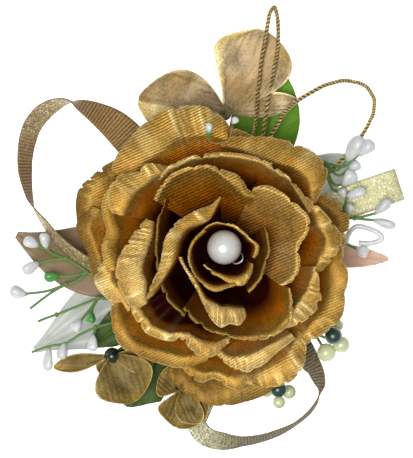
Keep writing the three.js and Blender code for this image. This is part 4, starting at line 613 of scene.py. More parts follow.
class Piece:
    """One mesh in the making: grids shaped as sheets, tubes and beads."""

    def __init__(self):
        self.mesh = bmesh.new()
        self.pattern = self.mesh.loops.layers.uv.new("Fabric")
        # Depth carries painted shade; tint carries painted light and shade on petals and cords, and real
        # colour on ribbons and buds
        self.depth = self.mesh.verts.layers.float.new("depth")
        self.tint = self.mesh.verts.layers.float.new("tint")
        self.ribs = self.mesh.verts.layers.float.new("ribs")

    def grid(self, surface, columns, rows, pattern=None, material=0, tint=0.0, ribs=0.0):
        """A grid whose points the surface places: it takes u and v from 0 to 1 and gives millimetres,
        and may give a depth, which the finishes paint as shade, and a tint from 0 to 1 as well. The pattern
        turns its points into cloth cut flat. The tint may be a function of u and v too. Ribs says how much
        more its ribs show."""
        made = bmesh.ops.create_grid(self.mesh, x_segments=columns, y_segments=rows, size=0.5)["verts"]
        net = [[None] * (rows + 1) for _ in range(columns + 1)]
        for vert in made:
            u, v = vert.co.x + 0.5, vert.co.y + 0.5
            net[round(u * columns)][round(v * rows)] = vert
            placed = surface(u, v)
            colour = tint(u, v) if callable(tint) else tint
            point, depth, colour = placed if isinstance(placed, tuple) else (placed, 0.0, colour)
            vert.co = point
            vert[self.depth] = depth
            vert[self.ribs] = ribs
            vert[self.tint] = colour
        flat = (pattern or cut_straight)([[vert.co for vert in column] for column in net])
        cut = {vert: flat[i][j] for i, column in enumerate(net) for j, vert in enumerate(column)}
        for loop in self.colour_faces(made, material):
            loop[self.pattern].uv = cut[loop.vert]
        return made

    def colour_faces(self, made, material):
        """Smooths the faces of new points, gives them their material and lists their corners."""
        faces = {face for vert in made for face in vert.link_faces}
        for face in faces:
            face.material_index = material
            face.smooth = True
        return [loop for face in faces for loop in face.loops]

    def tube(self, points, radius, sides=12, steps=24, material=0, tint=0.0, lobes=None):
        """A closed tube along a route; radius is a number or a function of the share of the length, and
        lobes gives the radius' share at an angle and a share of the length."""
        frames = route_frames(points, steps)
        size = radius if callable(radius) else lambda t: radius

        def skin(u, v):
            place, across, over = frames[round(v * steps)]
            turn = 2 * math.pi * u
            reach = size(v) * (lobes(turn, v) if lobes else 1)
            return place + (across * math.cos(turn) + over * math.sin(turn)) * reach

        self.seal(self.grid(skin, sides, steps, material=material, tint=tint))

    def seal(self, made, closed=True):
        """Merges a rolled grid's seam and poles, closes its open ends and turns its faces outwards."""
        faces = {face for vert in made for face in vert.link_faces}
        bmesh.ops.remove_doubles(self.mesh, verts=made, dist=1e-4)
        left = [face for face in faces if face.is_valid]
        rims = {edge for face in left for edge in face.edges if edge.is_boundary} if closed else None
        if rims:
            caps = bmesh.ops.holes_fill(self.mesh, edges=list(rims), sides=0)["faces"]
            for cap in caps:
                cap.material_index = left[0].material_index
            left += caps
        bmesh.ops.recalc_face_normals(self.mesh, faces=left)

    def ball(self, centre, radius, material=0, around=24, up=16, squash=1.0):
        """A closed ball, a little flattened where squash is under 1."""
        made = bmesh.ops.create_uvsphere(self.mesh, u_segments=around, v_segments=up, radius=radius)["verts"]
        for vert in made:
            vert.co.z *= squash
            vert.co += centre
        for loop in self.colour_faces(made, material):
            loop[self.pattern].uv = (loop.vert.co.x, loop.vert.co.y)

    def finish(self, name, materials, replaces, thickness=0.0, body="corsage"):
        """Turns the mesh into an object in metres, with its materials, that rides on its body."""
        bmesh.ops.scale(self.mesh, vec=(MM, MM, MM), verts=self.mesh.verts)
        data = bpy.data.meshes.new(name)
        self.area = sum(face.calc_area() for face in self.mesh.faces)
        self.mesh.to_mesh(data)
        self.mesh.free()
        made = add_object(name, data)
        for material in materials:
            data.materials.append(material)
        if thickness:
            wall = made.modifiers.new("Thickness", "SOLIDIFY")
            wall.thickness = thickness * MM
            wall.offset = 0
            wall.material_offset_rim = len(materials) - 1
        if body:
            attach(made, body)
        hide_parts(*replaces)
        return made


def cut_straight(net):
    """A strip cut along the cloth: the way along its middle is y, the way across from the middle is x."""
    middle = len(net[0]) // 2
    along = lengths_along([column[middle] for column in net])
    flat = []
    for column, y in zip(net, along):
        across = lengths_along(column)
        flat.append([(x - across[middle], y) for x in across])
    return flat


def cut_as_ring(rim, root_radius):
    """A petal of a ring stamped from flat cloth: each column lies at its azimuth, at its length out."""

    def cut(net):
        flat = []
        for i, column in enumerate(net):
            azimuth = rim_at(rim, i / (len(net) - 1))[0]
            flat.append([polar(azimuth, root_radius + length, 0).xy for length in lengths_along(column)])
        return flat

    return cut


def cut_from_above(net):
    """A petal that lies so open that its ribs run straight when it is seen from above."""
    return [[(point.x, point.y) for point in column] for column in net]


def cut_as_band(rim):
    """A petal wound round the coil: a band that lies across the middle of its azimuths."""
    out = polar((rim[0][0] + rim[-1][0]) / 2, 1, 0).xy
    aside = Vector((-out.y, out.x))

    def cut(net):
        middle = lengths_along([column[-1] for column in net])
        return [[tuple(aside * (x - middle[-1] / 2) + out * y) for y in lengths_along(column)]
                for column, x in zip(net, middle)]

    return cut


# Shapes shared with the part's source

LIP_DROP_SHARE = 0.14
LIP_RISE_SHARE = 0.06
ROOT_GATHER_SHARE = 0.7
INNER_GATHER_SHARE = 0.95
SMALLEST_LIP_SHARE = 0.015
WALL_SLACK = 1.1
DEEP_WALL = {"reach low": 0.6, "reach high": 0.98, "rise low": 0.02, "rise high": 0.4}
STRAIGHT_WALL = {"reach low": 0.33, "reach high": 0.67, "rise low": 0.33, "rise high": 0.67}
FLARED_WALL = {"reach low": 0.1, "reach high": 0.45, "rise low": 0.45, "rise high": 0.82}

# Layers from the outside whose petals are stamped as one ring, and those whose petals open outwards; the
# rest stand up and ripple less
OPEN_LAYERS = 3
FLARED_LAYERS = 4
HEART_CALM = 0.45

# The cloth's own relief on a petal: how far apart and how high its scallops, frays, creases, wrinkles,
# bulges and the waves of its lip are, in millimetres, and over what distance each comes and goes; creases
# run aslant, by a share of the radius that changes over the slant's distance
SCALLOP, SCALLOP_DEPTH, SCALLOP_PATCH, SCALLOP_SHARPNESS = 10, 1.5, 15, 5
FRAY, FRAY_PITCH = 0.3, 0.6
CREASE, CREASE_HEIGHT, CREASE_PATCH = 6.5, 0.9, 9
WRINKLE, WRINKLE_HEIGHT, WRINKLE_PATCH = 2.7, 0.3, 6
RIDGE_LEVEL = 0.35
SLANT, SLANT_SHARE, WRINKLE_SLANT_SHARE = 12, 0.4, 0.5
BULGE, BULGE_HEIGHT = 7, 0.7
LIP_WAVE, LIP_WAVE_HEIGHT, FULL_LIP = 3.2, 2.2, 4
# Width of the painted highlight along a petal's frayed edge, in millimetres
EDGE_LINE = 0.45

# A petal's rows crowd towards its lip by this power, and its depth, the painted shade down its wall, is full
# this far below its crest, in millimetres, as shares for an upright petal and more for one that leans
ROW_CROWDING = 0.75
DEPTH_REACH, UPRIGHT_REACH_SHARE, LEANING_REACH_SHARE = 20, 0.6, 1.6


def ridged(value, seed, spacing):
    """Sharp ridges from 0 to 1 along a way in millimetres, unevenly spaced about the spacing."""
    drift = noise.noise(Vector((value / spacing / 3, seed * 4.7, 0.5)))
    return 1 - abs(math.sin(math.pi * (value / spacing + 1.5 * drift)))


def patches(value, seed, spacing):
    """A slow share from 0 to 1 along a way in millimetres, for what shows in some places only."""
    return clamp(0.5 + 1.7 * noise.noise(Vector((value / spacing, seed * 2.9, 7.5))))


def petal_surface(rim, lean, level, seed, ruffle, shade=0.0, far_painted_shade=None, shade_steepness=1.0, hem=0.6):
    """A rose petal: a wall that climbs from the disc to its crest, and a thin lip that spreads outwards,
    with scallops cut into its edge. Its depth, which the finish paints as shade, grows below the crest; its
    tint is a painted highlight above zero on ridges and at the edge, and painted shade below zero in valleys.
    The petal's own painted shade may change towards its far side; below zero it is painted light that fades
    down the wall."""
    root = layer_level(level)
    root_radius = disc_radius(level) - PETAL / 2
    middle = (rim[0][0] + rim[-1][0]) / 2
    flared = level < FLARED_LAYERS
    other, share = (FLARED_WALL, clamp(1.5 * lean)) if flared else (STRAIGHT_WALL, lean)
    pull = {name: mix(DEEP_WALL[name], other[name], share) for name in DEEP_WALL}
    calm = 1 if flared else HEART_CALM
    gathered = ROOT_GATHER_SHARE if level < OPEN_LAYERS else INNER_GATHER_SHARE
    full_shade_reach = DEPTH_REACH * (UPRIGHT_REACH_SHARE + LEANING_REACH_SHARE * lean)

    def shape(u, v):
        azimuth, radius_share, height_share, lip_share = rim_at(rim, u)
        lip = max(lip_share, SMALLEST_LIP_SHARE) * ROSE_RADIUS
        crest_radius = radius_share * ROSE_RADIUS - lip
        crest = ROSE_BASE + height_share * ROSE_HEIGHT
        rise, reach = crest - root, crest_radius - root_radius
        wall = WALL_SLACK * math.hypot(rise, reach)
        way = math.radians(azimuth) * radius_share * ROSE_RADIUS

        notch = ridged(way, seed, SCALLOP) ** SCALLOP_SHARPNESS * (0.4 + patches(way, seed, SCALLOP_PATCH))
        fray = wobble(Vector((way, seed, 0)), seed, FRAY_PITCH)
        length = wall + lip - (calm * SCALLOP_DEPTH * notch + FRAY * fray) * ruffle
        along = v ** ROW_CROWDING * length
        edge = clamp((along - wall) / lip)
        if along <= wall:
            t = along / wall
            radius = bezier(root_radius, root_radius + reach * pull["reach low"],
                            root_radius + reach * pull["reach high"], crest_radius, t)
            height = bezier(root, root + rise * pull["rise low"], root + rise * pull["rise high"], crest, t)
        else:
            radius = crest_radius + lip * edge
            height = crest + lip * (LIP_RISE_SHARE * 4 * edge * (1 - edge) - LIP_DROP_SHARE * edge * edge)
        climbed = min(along / wall, 1)
        point = polar(middle + (azimuth - middle) * mix(gathered, 1, climbed), radius, height)

        free = climbed ** 2
        slant = way + SLANT_SHARE * radius * wobble(Vector((way, seed, 3)), seed, SLANT)
        crease = (ridged(slant, seed + 0.3, CREASE) - RIDGE_LEVEL) * patches(way, seed + 0.2, CREASE_PATCH)
        aslant = slant + WRINKLE_SLANT_SHARE * radius * lean
        fine = (ridged(aslant, seed + 0.7, WRINKLE) - RIDGE_LEVEL) * patches(way, seed + 0.6, WRINKLE_PATCH)
        lift = CREASE_HEIGHT * crease * mix(0.5, 1, edge) + WRINKLE_HEIGHT * fine
        out = polar(azimuth, 1, 0)
        aim = (out * (1 - edge) + Vector((0, 0, 1)) * (0.2 + edge)).normalized()
        bulge = wobble(point, seed, BULGE) * BULGE_HEIGHT * ruffle * free * (1 - 0.5 * edge)
        point += aim * (lift * ruffle * free * calm) + out * bulge
        wave = wobble(Vector((way * 0.3, seed * 9, 0)), seed, LIP_WAVE)
        point.z += edge * wave * LIP_WAVE_HEIGHT * ruffle * min(lip / FULL_LIP, 1)

        # Painted shade below the crest, a painted highlight on the edge line and ridges, painted shade in the
        # valleys, and the petal's own painted shade or light
        depth = clamp(shade_steepness * (wall - along) / full_shade_reach)
        rims = clamp(1 - (length - along) / EDGE_LINE)
        painted_relief_shading = free * free * mix(0.4, 1, edge) * (crease * 1.3 + fine * 0.4)
        dark = shade if far_painted_shade is None else mix(shade, far_painted_shade, u)
        if dark < 0:
            dark *= (1 - depth) ** 3
        return point, depth, max(hem * rims, min(painted_relief_shading, 1)) - dark

    return shape


def disc_surface(centre, outer, inner, rise=0.0, depth=1.0):
    """A disc that carries petals: it narrows from its outer radius and climbs by the rise; its depth is the
    painted shade that the finish gives it.
    """

    def shape(u, v):
        return centre + polar(360 * u, mix(outer, inner, v), rise * v), depth, 0.0

    return shape


# Leaves, organza and floret petals: shares of the width or its half, spacings in millimetres, and how strong
# the painted shade at the root and in the hollow is
BLADE_END_SHARE = 0.1
BLADE_FULLNESS = 0.8
TOOTH_SHARE = 0.12
PLEAT_SHARE = 0.12
MIDRIB_SHARE = 0.2
BLADE_CREASE, BLADE_BULGE, HEM_DRIFT = 3.4, 4.5, 4
FOLD_SHARE, HEM_LINE_SHARE = 0.66, 0.93
ROOT_SHADE, ROOT_SHADE_FALL, HOLLOW_SHADE = 0.6, 2.2, 0.55


def blade_surface(root, tip, width, widest=0.5, bow=0.0, arch=0.0, cup=0.0, fullness=BLADE_FULLNESS, teeth=0,
                  pleats=0, seed=1.0, crinkle=0.0, fold=0.0, hem=0.0, folded=False, turned=FOLD_SHARE):
    """A leaf or petal on a bent middle line from root to tip; its hem curls up by so many millimetres, all
    round or, where it is folded, as a band along its left side."""
    length = (tip - root).length
    forward = (tip - root).xy.normalized()
    bend = (root + tip) / 2 + Vector((-forward.y, forward.x, 0)) * (bow * length)
    bend.z += arch * length
    power = -math.log(2) / math.log(widest)

    def shape(u, v):
        centre = root * (1 - u) ** 2 + bend * (2 * u * (1 - u)) + tip * u * u
        ahead = (bend - root) * (1 - u) + (tip - bend) * u
        across = Vector((-ahead.y, ahead.x, 0)).normalized()
        belly = mix(BLADE_END_SHARE, 1, max(math.sin(math.pi * u ** power), 0) ** fullness)
        notch = TOOTH_SHARE * abs(math.sin(math.pi * teeth * u)) if teeth else 0
        half = width / 2 * belly * (1 - notch)
        s = 2 * v - 1
        pleat = PLEAT_SHARE * (1 + math.cos(math.pi * pleats * s)) if pleats else 0
        point = centre + across * (half * s)
        free = math.sin(math.pi * min(u * 0.5 + 0.02, 0.5))
        crease = ridged(half * s * 2 + length * u * 0.3, seed, BLADE_CREASE) - 0.4
        crumple = wobble(point, seed, BLADE_BULGE) + 0.4 * crease * abs(s)
        point.z += half * (cup * s * s + pleat) + crinkle * free * crumple
        point.z -= fold * half * (1 - abs(s)) ** 4 * MIDRIB_SHARE
        if folded:
            drift = 0.1 * wobble(Vector((u * length, seed, 0)), seed, HEM_DRIFT)
            curl = clamp((s + drift - turned) * 5)
            pale, hollow_shade = max(curl, 0.5 * clamp((abs(s) - HEM_LINE_SHARE) * 14)), 0
        else:
            curl = max(abs(s), 2 * u - 1) ** 6
            pale = curl * 0.8
            hollow_shade = HOLLOW_SHADE * (1 - s * s) * math.sin(math.pi * u ** 1.4) ** 2 if hem else 0
        point.z += hem * curl * free
        # Depth is painted shade near the root and in the hollow; the tint pales the turned hem and the rim,
        # with painted highlights on crease ridges
        depth = clamp(ROOT_SHADE * clamp(1 - ROOT_SHADE_FALL * u) + hollow_shade)
        return point, depth, clamp(pale + crinkle * crease * 0.25)

    return shape


def lay_blade(row, level, cloth, slot, thickness, fineness, **look):
    """Lays one leaf or organza piece from the glue bed to its tip, as cloth gathered at its root."""
    name, azimuth, tip_shares, width, form = row
    root, tip = butt(azimuth, level), spray_point(tip_shares)
    piece = Piece()
    piece.grid(blade_surface(root, tip, width, **form, **look), *fineness)
    made = piece.finish(name + "_cloth", [cloth], [name], thickness)


def ribbon_surface(rows, glitter):
    """A ribbon of even width whose tilt turns about its route, with the share of glitter at its rows."""
    points = [Vector((x * SPRAY_RADIUS, y * SPRAY_RADIUS, RIBBON_LEVEL + z * RIBBON_WIDTH))
              for x, y, z, _ in rows]
    last = len(rows) - 1

    def shape(u, v):
        k = min(int(u * last), last - 1)
        turn = math.radians(mix(rows[k][3], rows[k + 1][3], u * last - k))
        ahead = (route_at(points, min(u + 1e-4, 1)) - route_at(points, max(u - 1e-4, 0))).xy.normalized()
        across = Vector((ahead.y * math.cos(turn), -ahead.x * math.cos(turn), math.sin(turn)))
        share = mix(glitter[k], glitter[k + 1], u * last - k)
        return route_at(points, u) + across * ((v - 0.5) * RIBBON_WIDTH), 0.0, share

    return shape


BUD_FULLEST = 0.72


def bud_shape(t):
    """The radius share of a club-shaped bud along its length."""
    if t < BUD_FULLEST:
        return math.sin(math.pi / 2 * t / BUD_FULLEST) ** 0.75
    return math.sqrt(max(1 - ((t - BUD_FULLEST) / (1 - BUD_FULLEST)) ** 2, 0))


def three_lobed(turn, t, number):
    """The radius share of a bud's three grown petals at an angle and a share of its length."""
    return 1 + 0.12 * math.cos(3 * turn + 2.5 * t + number) * math.sin(math.pi * t)


# Finishes


class Board:
    """Places and links the shader nodes of one tree."""

    def __init__(self, tree):
        self.tree = tree

    def node(self, kind, **settings):
        made = self.tree.nodes.new(kind)
        for name, value in settings.items():
            setattr(made, name, value)
        return made

    def feed(self, socket, value):
        if isinstance(value, bpy.types.NodeSocket):
            self.tree.links.new(value, socket)
        else:
            socket.default_value = value

    def math(self, operation, first, second=0.0, clamped=False):
        made = self.node("ShaderNodeMath", operation=operation, use_clamp=clamped)
        self.feed(made.inputs[0], first)
        self.feed(made.inputs[1], second)
        return made.outputs[0]

    def product(self, first, *others, clamped=False):
        for value in others:
            first = self.math("MULTIPLY", first, value, clamped)
        return first

    def total(self, first, second, clamped=False):
        return self.math("ADD", first, second, clamped)

    def scaled(self, value, factor, added, clamped=False):
        """The value times a factor, plus what is added."""
        made = self.math("MULTIPLY_ADD", value, factor, clamped)
        made.node.inputs[2].default_value = added
        return made

    def ranged(self, value, low, high):
        """Turns a value from 0 to 1 into one from low to high."""
        return self.scaled(value, high - low, low)

    def blend(self, factor, first, second, how="MIX"):
        made = self.node("ShaderNodeMix", data_type="RGBA", blend_type=how)
        self.feed(made.inputs[0], factor)
        self.feed(made.inputs[6], first)
        self.feed(made.inputs[7], second)
        return made.outputs[2]

    def noise(self, vector, scale, detail=2.0, roughness=0.5):
        made = self.node("ShaderNodeTexNoise")
        self.feed(made.inputs["Vector"], vector)
        self.feed(made.inputs["Scale"], scale)
        made.inputs["Detail"].default_value = detail
        made.inputs["Roughness"].default_value = roughness
        return made.outputs["Fac"]

    def ramp(self, factor, stops):
        made = self.node("ShaderNodeValToRGB")
        band = made.color_ramp
        while len(band.elements) < len(stops):
            band.elements.new(0.5)
        for element, (place, colour) in zip(band.elements, stops):
            element.position = place
            element.color = colour
        self.feed(made.inputs[0], factor)
        return made.outputs[0]


class Finish(Board):
    """The board of a new material, with its shader's sockets and the coordinates that finishes read."""

    def __init__(self, name):
        self.material = bpy.data.materials.new(name)
        self.material.use_nodes = True
        super().__init__(self.material.node_tree)
        self.shader = self.tree.nodes["Principled BSDF"].inputs

    @cached_property
    def pattern(self):
        return self.node("ShaderNodeUVMap", uv_map="Fabric").outputs[0]

    @cached_property
    def place(self):
        return self.node("ShaderNodeTexCoord").outputs["Object"]

    def attribute(self, name):
        return self.node("ShaderNodeAttribute", attribute_name=name).outputs["Fac"]

    def effect(self, name, **values):
        """The outputs of a shared effect, placed with its own values."""
        made = self.node("ShaderNodeGroup")
        made.node_tree = EFFECTS[name]
        for socket, value in values.items():
            self.feed(made.inputs[socket], value)
        return made.outputs

    def dress(self, colour, roughness, height, strength, distance, **plain):
        """Feeds the shader its colour, its roughness and a bump of so many millimetres, sets its plain
        values, and gives the finished material."""
        self.feed(self.shader["Base Color"], colour)
        self.feed(self.shader["Roughness"], roughness)
        for socket, value in plain.items():
            self.shader[socket.replace("_", " ")].default_value = value
        bump = self.node("ShaderNodeBump")
        bump.inputs["Strength"].default_value = strength
        bump.inputs["Distance"].default_value = distance * MM
        self.feed(bump.inputs["Height"], height)
        self.feed(self.shader["Normal"], bump.outputs[0])
        return self.material


VECTOR, FLOAT = "NodeSocketVector", "NodeSocketFloat"
EFFECTS = {}


def new_effect(name, outputs, **inputs):
    """An empty node group with a vector to read, named values with their defaults, and named outputs."""
    tree = EFFECTS[name] = bpy.data.node_groups.new(name, "ShaderNodeTree")
    for label, value in inputs.items():
        kind = VECTOR if value is None else FLOAT
        socket = tree.interface.new_socket(label, in_out="INPUT", socket_type=kind)
        if value is not None:
            socket.default_value = value
    for label in outputs:
        tree.interface.new_socket(label, in_out="OUTPUT", socket_type=FLOAT)
    board = Board(tree)
    return board, board.node("NodeGroupInput").outputs, board.node("NodeGroupOutput").inputs


def make_ribbed_weave():
    """A soft wave across the cloth with fine threads along it, in the cloth's millimetres."""
    board, given, gives = new_effect("Ribbed weave", ("Rib", "Thread", "Height"),
                                     Pattern=None, Pitch=1.0, Angle=0.0, Drift=0.4)
    turned = board.node("ShaderNodeVectorRotate", rotation_type="Z_AXIS")
    board.feed(turned.inputs["Vector"], given["Pattern"])
    board.feed(turned.inputs["Angle"], given["Angle"])
    way = board.node("ShaderNodeSeparateXYZ")
    board.feed(way.inputs[0], turned.outputs[0])
    drift = board.product(board.noise(given["Pattern"], 0.22, detail=1.0), given["Drift"], 4.0)
    across = board.total(way.outputs[1], drift)
    phase = board.product(board.math("DIVIDE", across, given["Pitch"]), 2 * math.pi)
    rib = board.scaled(board.math("SINE", phase), 0.5, 0.5)
    stretched = board.node("ShaderNodeVectorMath", operation="MULTIPLY")
    board.feed(stretched.inputs[0], turned.outputs[0])
    stretched.inputs[1].default_value = (0.9, 5.0, 1.0)
    thread = board.noise(stretched.outputs[0], 1.0, roughness=0.6)
    board.feed(gives["Rib"], rib)
    board.feed(gives["Thread"], thread)
    board.feed(gives["Height"], board.total(rib, board.product(thread, 0.5)))


def make_mottle():
    """Slow clouds and fine grain, about one half on average."""
    board, given, gives = new_effect("Mottle", ("Cloud", "Grain"), Place=None, Scale=200.0)
    board.feed(gives["Cloud"], board.noise(given["Place"], given["Scale"], detail=3.0))
    board.feed(gives["Grain"], board.noise(given["Place"], board.product(given["Scale"], 9.0)))


def make_glitter():
    """Small flakes, each with its own brightness; Spark picks the few that the ribbon and cord finishes paint
    with a glint.
    """
    board, given, gives = new_effect("Glitter", ("Tone", "Spark", "Height"), Place=None, Scale=3.0, Share=0.2)
    flakes = board.node("ShaderNodeTexVoronoi")
    board.feed(flakes.inputs["Vector"], given["Place"])
    board.feed(flakes.inputs["Scale"], given["Scale"])
    split = board.node("ShaderNodeSeparateColor")
    board.feed(split.inputs[0], flakes.outputs["Color"])
    board.feed(gives["Tone"], split.outputs[1])
    board.feed(gives["Spark"], board.math("LESS_THAN", split.outputs[0], given["Share"]))
    board.feed(gives["Height"], split.outputs[2])


def make_leaf_veins():
    """A midrib and side veins that climb from it, in the leaf's millimetres."""
    board, given, gives = new_effect("Leaf veins", ("Vein", "Height"), Pattern=None, Spacing=3.2)
    way = board.node("ShaderNodeSeparateXYZ")
    board.feed(way.inputs[0], given["Pattern"])
    aside = board.math("ABSOLUTE", way.outputs[0])
    midrib = board.math("SUBTRACT", 1.0, board.math("DIVIDE", aside, 0.45), True)
    climb = board.math("SUBTRACT", way.outputs[1], board.product(aside, 0.85))
    climb = board.total(climb, board.product(board.noise(given["Pattern"], 0.3), 1.6))
    beat = board.math("PINGPONG", climb, board.product(given["Spacing"], 0.5))
    side = board.math("SUBTRACT", 1.0, board.math("DIVIDE", beat, 0.28), True)
    vein = board.math("MAXIMUM", midrib, board.product(side, 0.6))
    board.feed(gives["Vein"], vein)
    board.feed(gives["Height"], vein)


def make_effects():
    """The surface effects that several finishes share."""
    make_ribbed_weave()
    make_mottle()
    make_glitter()
    make_leaf_veins()


WEAVE_ANGLE = math.radians(-25.0)
TAN_DYE = (0.86, 0.76, 0.48, 1)
CLEAR_DYE = (1.04, 1.06, 1.0, 1)
# Painted glints on a few glitter flakes of the ribbon and filaments of the cord
PAINTED_GOLD_GLINT = (1.0, 0.93, 0.75, 1)
PAINTED_CORD_GLINT = (1.0, 0.88, 0.62, 1)
SILVER = (0.75, 0.77, 0.71, 1)
# Painted shade in the grooves between the cord's two strands
CORD_GAP_SHADE = (0.03, 0.015, 0.004, 1)
BRIGHT_VEIN = (0.30, 0.50, 0.03, 1)
DARK_VEIN = (0.10, 0.20, 0.04, 1)
FLORET_SHADE = (0.16, 0.13, 0.07)
LOWER_FLORET_SHADE = (0.03, 0.03, 0.012)
CLEAR_LIGHT = (0.9, 0.9, 0.9, 1)
CLEAR_SHADE = (0.7, 0.68, 0.62, 1)
FLOOR_PAINT = (0.9, 0.9, 0.9, 1)
WHITE = (1, 1, 1, 1)
PEARL_SHADE = (0.50, 0.51, 0.50, 1)
PEARL_LIGHT = (0.83, 0.83, 0.79, 1)
PEARL_RIM = (0.46, 0.49, 0.50, 1)


def petal_cloth(name, stops, edge, pitch=0.82, contrast=0.28, metallic=0.48):
    """Metallic cloth whose colour runs from the lit lips down into painted shade in the hollows, with painted
    highlights on its edges and ridges and painted shade in its valleys, with ribs that show in places and a
    fine sparkling weave."""
    cloth = Finish(name)
    weave = cloth.effect("Ribbed weave", Pattern=cloth.pattern, Pitch=pitch, Angle=WEAVE_ANGLE, Drift=0.1)
    clouds = cloth.effect("Mottle", Place=cloth.place, Scale=140.0)
    sparkle = cloth.effect("Glitter", Place=cloth.pattern, Scale=2.6, Share=0.1)
    # The depth ramp and the tint are painted light and shade: the ramp darkens down into the cups, the edge
    # colour paints highlights on edges and ridges, and the valleys darken
    depth = cloth.total(cloth.attribute("depth"), cloth.ranged(clouds["Cloud"], -0.12, 0.12), True)
    painted_relief_shading = cloth.attribute("tint")
    colour = cloth.blend(cloth.product(painted_relief_shading, 0.8, clamped=True), cloth.ramp(depth, stops), edge)
    dye = cloth.scaled(cloth.noise(cloth.place, 85.0, detail=1.5), 3.6, -1.3, True)
    colour = cloth.blend(1.0, colour, cloth.blend(dye, TAN_DYE, CLEAR_DYE), "MULTIPLY")
    places = cloth.scaled(cloth.noise(cloth.place, 45.0, detail=1.0), 7.0, -3.0, True)
    places = cloth.total(cloth.ranged(places, 0.3, 1.0), cloth.attribute("ribs"))
    ribs = cloth.product(cloth.math("SUBTRACT", weave["Rib"], 0.5), places)
    painted_valley_shade = cloth.product(painted_relief_shading, -1.0, clamped=True)
    tone = cloth.product(cloth.ranged(ribs, 1.0, 1.0 + 2 * contrast),
                         cloth.ranged(clouds["Cloud"], 0.55, 1.6),
                         cloth.ranged(sparkle["Tone"], 0.72, 1.28), cloth.ranged(painted_valley_shade, 1.0, 0.35))
    dyed = cloth.node("ShaderNodeVectorMath", operation="SCALE")
    cloth.feed(dyed.inputs[0], colour)
    cloth.feed(dyed.inputs["Scale"], tone)
    height = cloth.total(cloth.product(ribs, 3.5 * contrast), weave["Thread"])
    height = cloth.total(height, cloth.product(sparkle["Height"], 0.35))
    return cloth.dress(dyed.outputs[0], cloth.ranged(sparkle["Tone"], 0.32, 0.52), height, 0.6, 0.13,
                       Metallic=metallic, Specular_IOR_Level=0.25)


def leaf_cloth(name, light, dark, vein, roughness):
    """Printed leaf cloth with veins, a fine weave and cloudy dye."""
    cloth = Finish(name)
    veins = cloth.effect("Leaf veins", Pattern=cloth.pattern)
    weave = cloth.effect("Ribbed weave", Pattern=cloth.pattern, Pitch=0.35, Angle=0.6, Drift=0.1)
    clouds = cloth.effect("Mottle", Place=cloth.place, Scale=130.0)
    colour = cloth.blend(clouds["Cloud"], dark, light)
    colour = cloth.blend(cloth.product(veins["Vein"], 0.7), colour, vein)
    colour = cloth.blend(cloth.product(weave["Rib"], 0.12), colour, dark)
    height = cloth.math("SUBTRACT", cloth.product(weave["Height"], 0.3), veins["Height"])
    gloss = cloth.ranged(clouds["Grain"], roughness - 0.08, roughness + 0.12)
    return cloth.dress(colour, gloss, height, 0.5, 0.15, Specular_IOR_Level=0.25)


def satin_cloth(name, light, dark):
    """Plain satin with soft creases and a fine cross thread."""
    cloth = Finish(name)
    weave = cloth.effect("Ribbed weave", Pattern=cloth.pattern, Pitch=0.45, Angle=1.2, Drift=0.2)
    clouds = cloth.effect("Mottle", Place=cloth.place, Scale=110.0)
    colour = cloth.blend(clouds["Cloud"], dark, light)
    colour = cloth.blend(cloth.product(weave["Rib"], 0.18), colour, dark)
    height = cloth.total(weave["Height"], clouds["Cloud"])
    return cloth.dress(colour, cloth.ranged(clouds["Grain"], 0.32, 0.5), height, 0.4, 0.08, Sheen_Weight=0.3)


def sheer_cloth(name, colour, opacity):
    """Organza: an open weave that lets some of the light through."""
    cloth = Finish(name)
    warp, weft = (cloth.effect("Ribbed weave", Pattern=cloth.pattern, Pitch=0.3, Angle=angle, Drift=0.1)
                  for angle in (0.4, 1.97))
    mesh = cloth.math("MAXIMUM", warp["Rib"], weft["Rib"])
    cloth.feed(cloth.shader["Alpha"], cloth.ranged(mesh, opacity - 0.15, opacity + 0.2))
    clouds = cloth.effect("Mottle", Place=cloth.place, Scale=160.0)
    colour = cloth.blend(clouds["Cloud"], colour, SILVER)
    return cloth.dress(colour, cloth.ranged(mesh, 0.25, 0.45), mesh, 0.3, 0.05, Sheen_Weight=0.3)


def ribbon_cloth(name, flake, base, light, dark, metallic=0.45):
    """Ribbon that is covered with glitter where the tint is full and shows its cross ribs elsewhere."""
    cloth = Finish(name)
    weave = cloth.effect("Ribbed weave", Pattern=cloth.pattern, Pitch=0.95, Angle=0.0, Drift=0.06)
    glitter = cloth.effect("Glitter", Place=cloth.pattern, Scale=2.6, Share=0.14)
    clouds = cloth.effect("Mottle", Place=cloth.place, Scale=150.0)
    shiny = cloth.total(cloth.attribute("tint"), cloth.ranged(glitter["Tone"], -0.25, 0.25), True)
    ribbed = cloth.blend(weave["Rib"], dark, light)
    ribbed = cloth.blend(cloth.ranged(clouds["Cloud"], 0.0, 0.4), ribbed, dark)
    flakes = cloth.blend(glitter["Tone"], base, flake)
    # A few flakes get a painted glint
    flakes = cloth.blend(glitter["Spark"], flakes, PAINTED_GOLD_GLINT)
    gloss = cloth.total(cloth.ranged(glitter["Tone"], 0.0, 0.2), cloth.ranged(shiny, 0.55, 0.3))
    cloth.feed(cloth.shader["Metallic"], cloth.ranged(shiny, 0.1, metallic))
    height = cloth.total(cloth.product(shiny, glitter["Height"]),
                         cloth.product(weave["Height"], cloth.ranged(shiny, 1.0, 0.2)))
    return cloth.dress(cloth.blend(shiny, ribbed, flakes), gloss, height, 0.7, 0.15, Specular_IOR_Level=0.15)


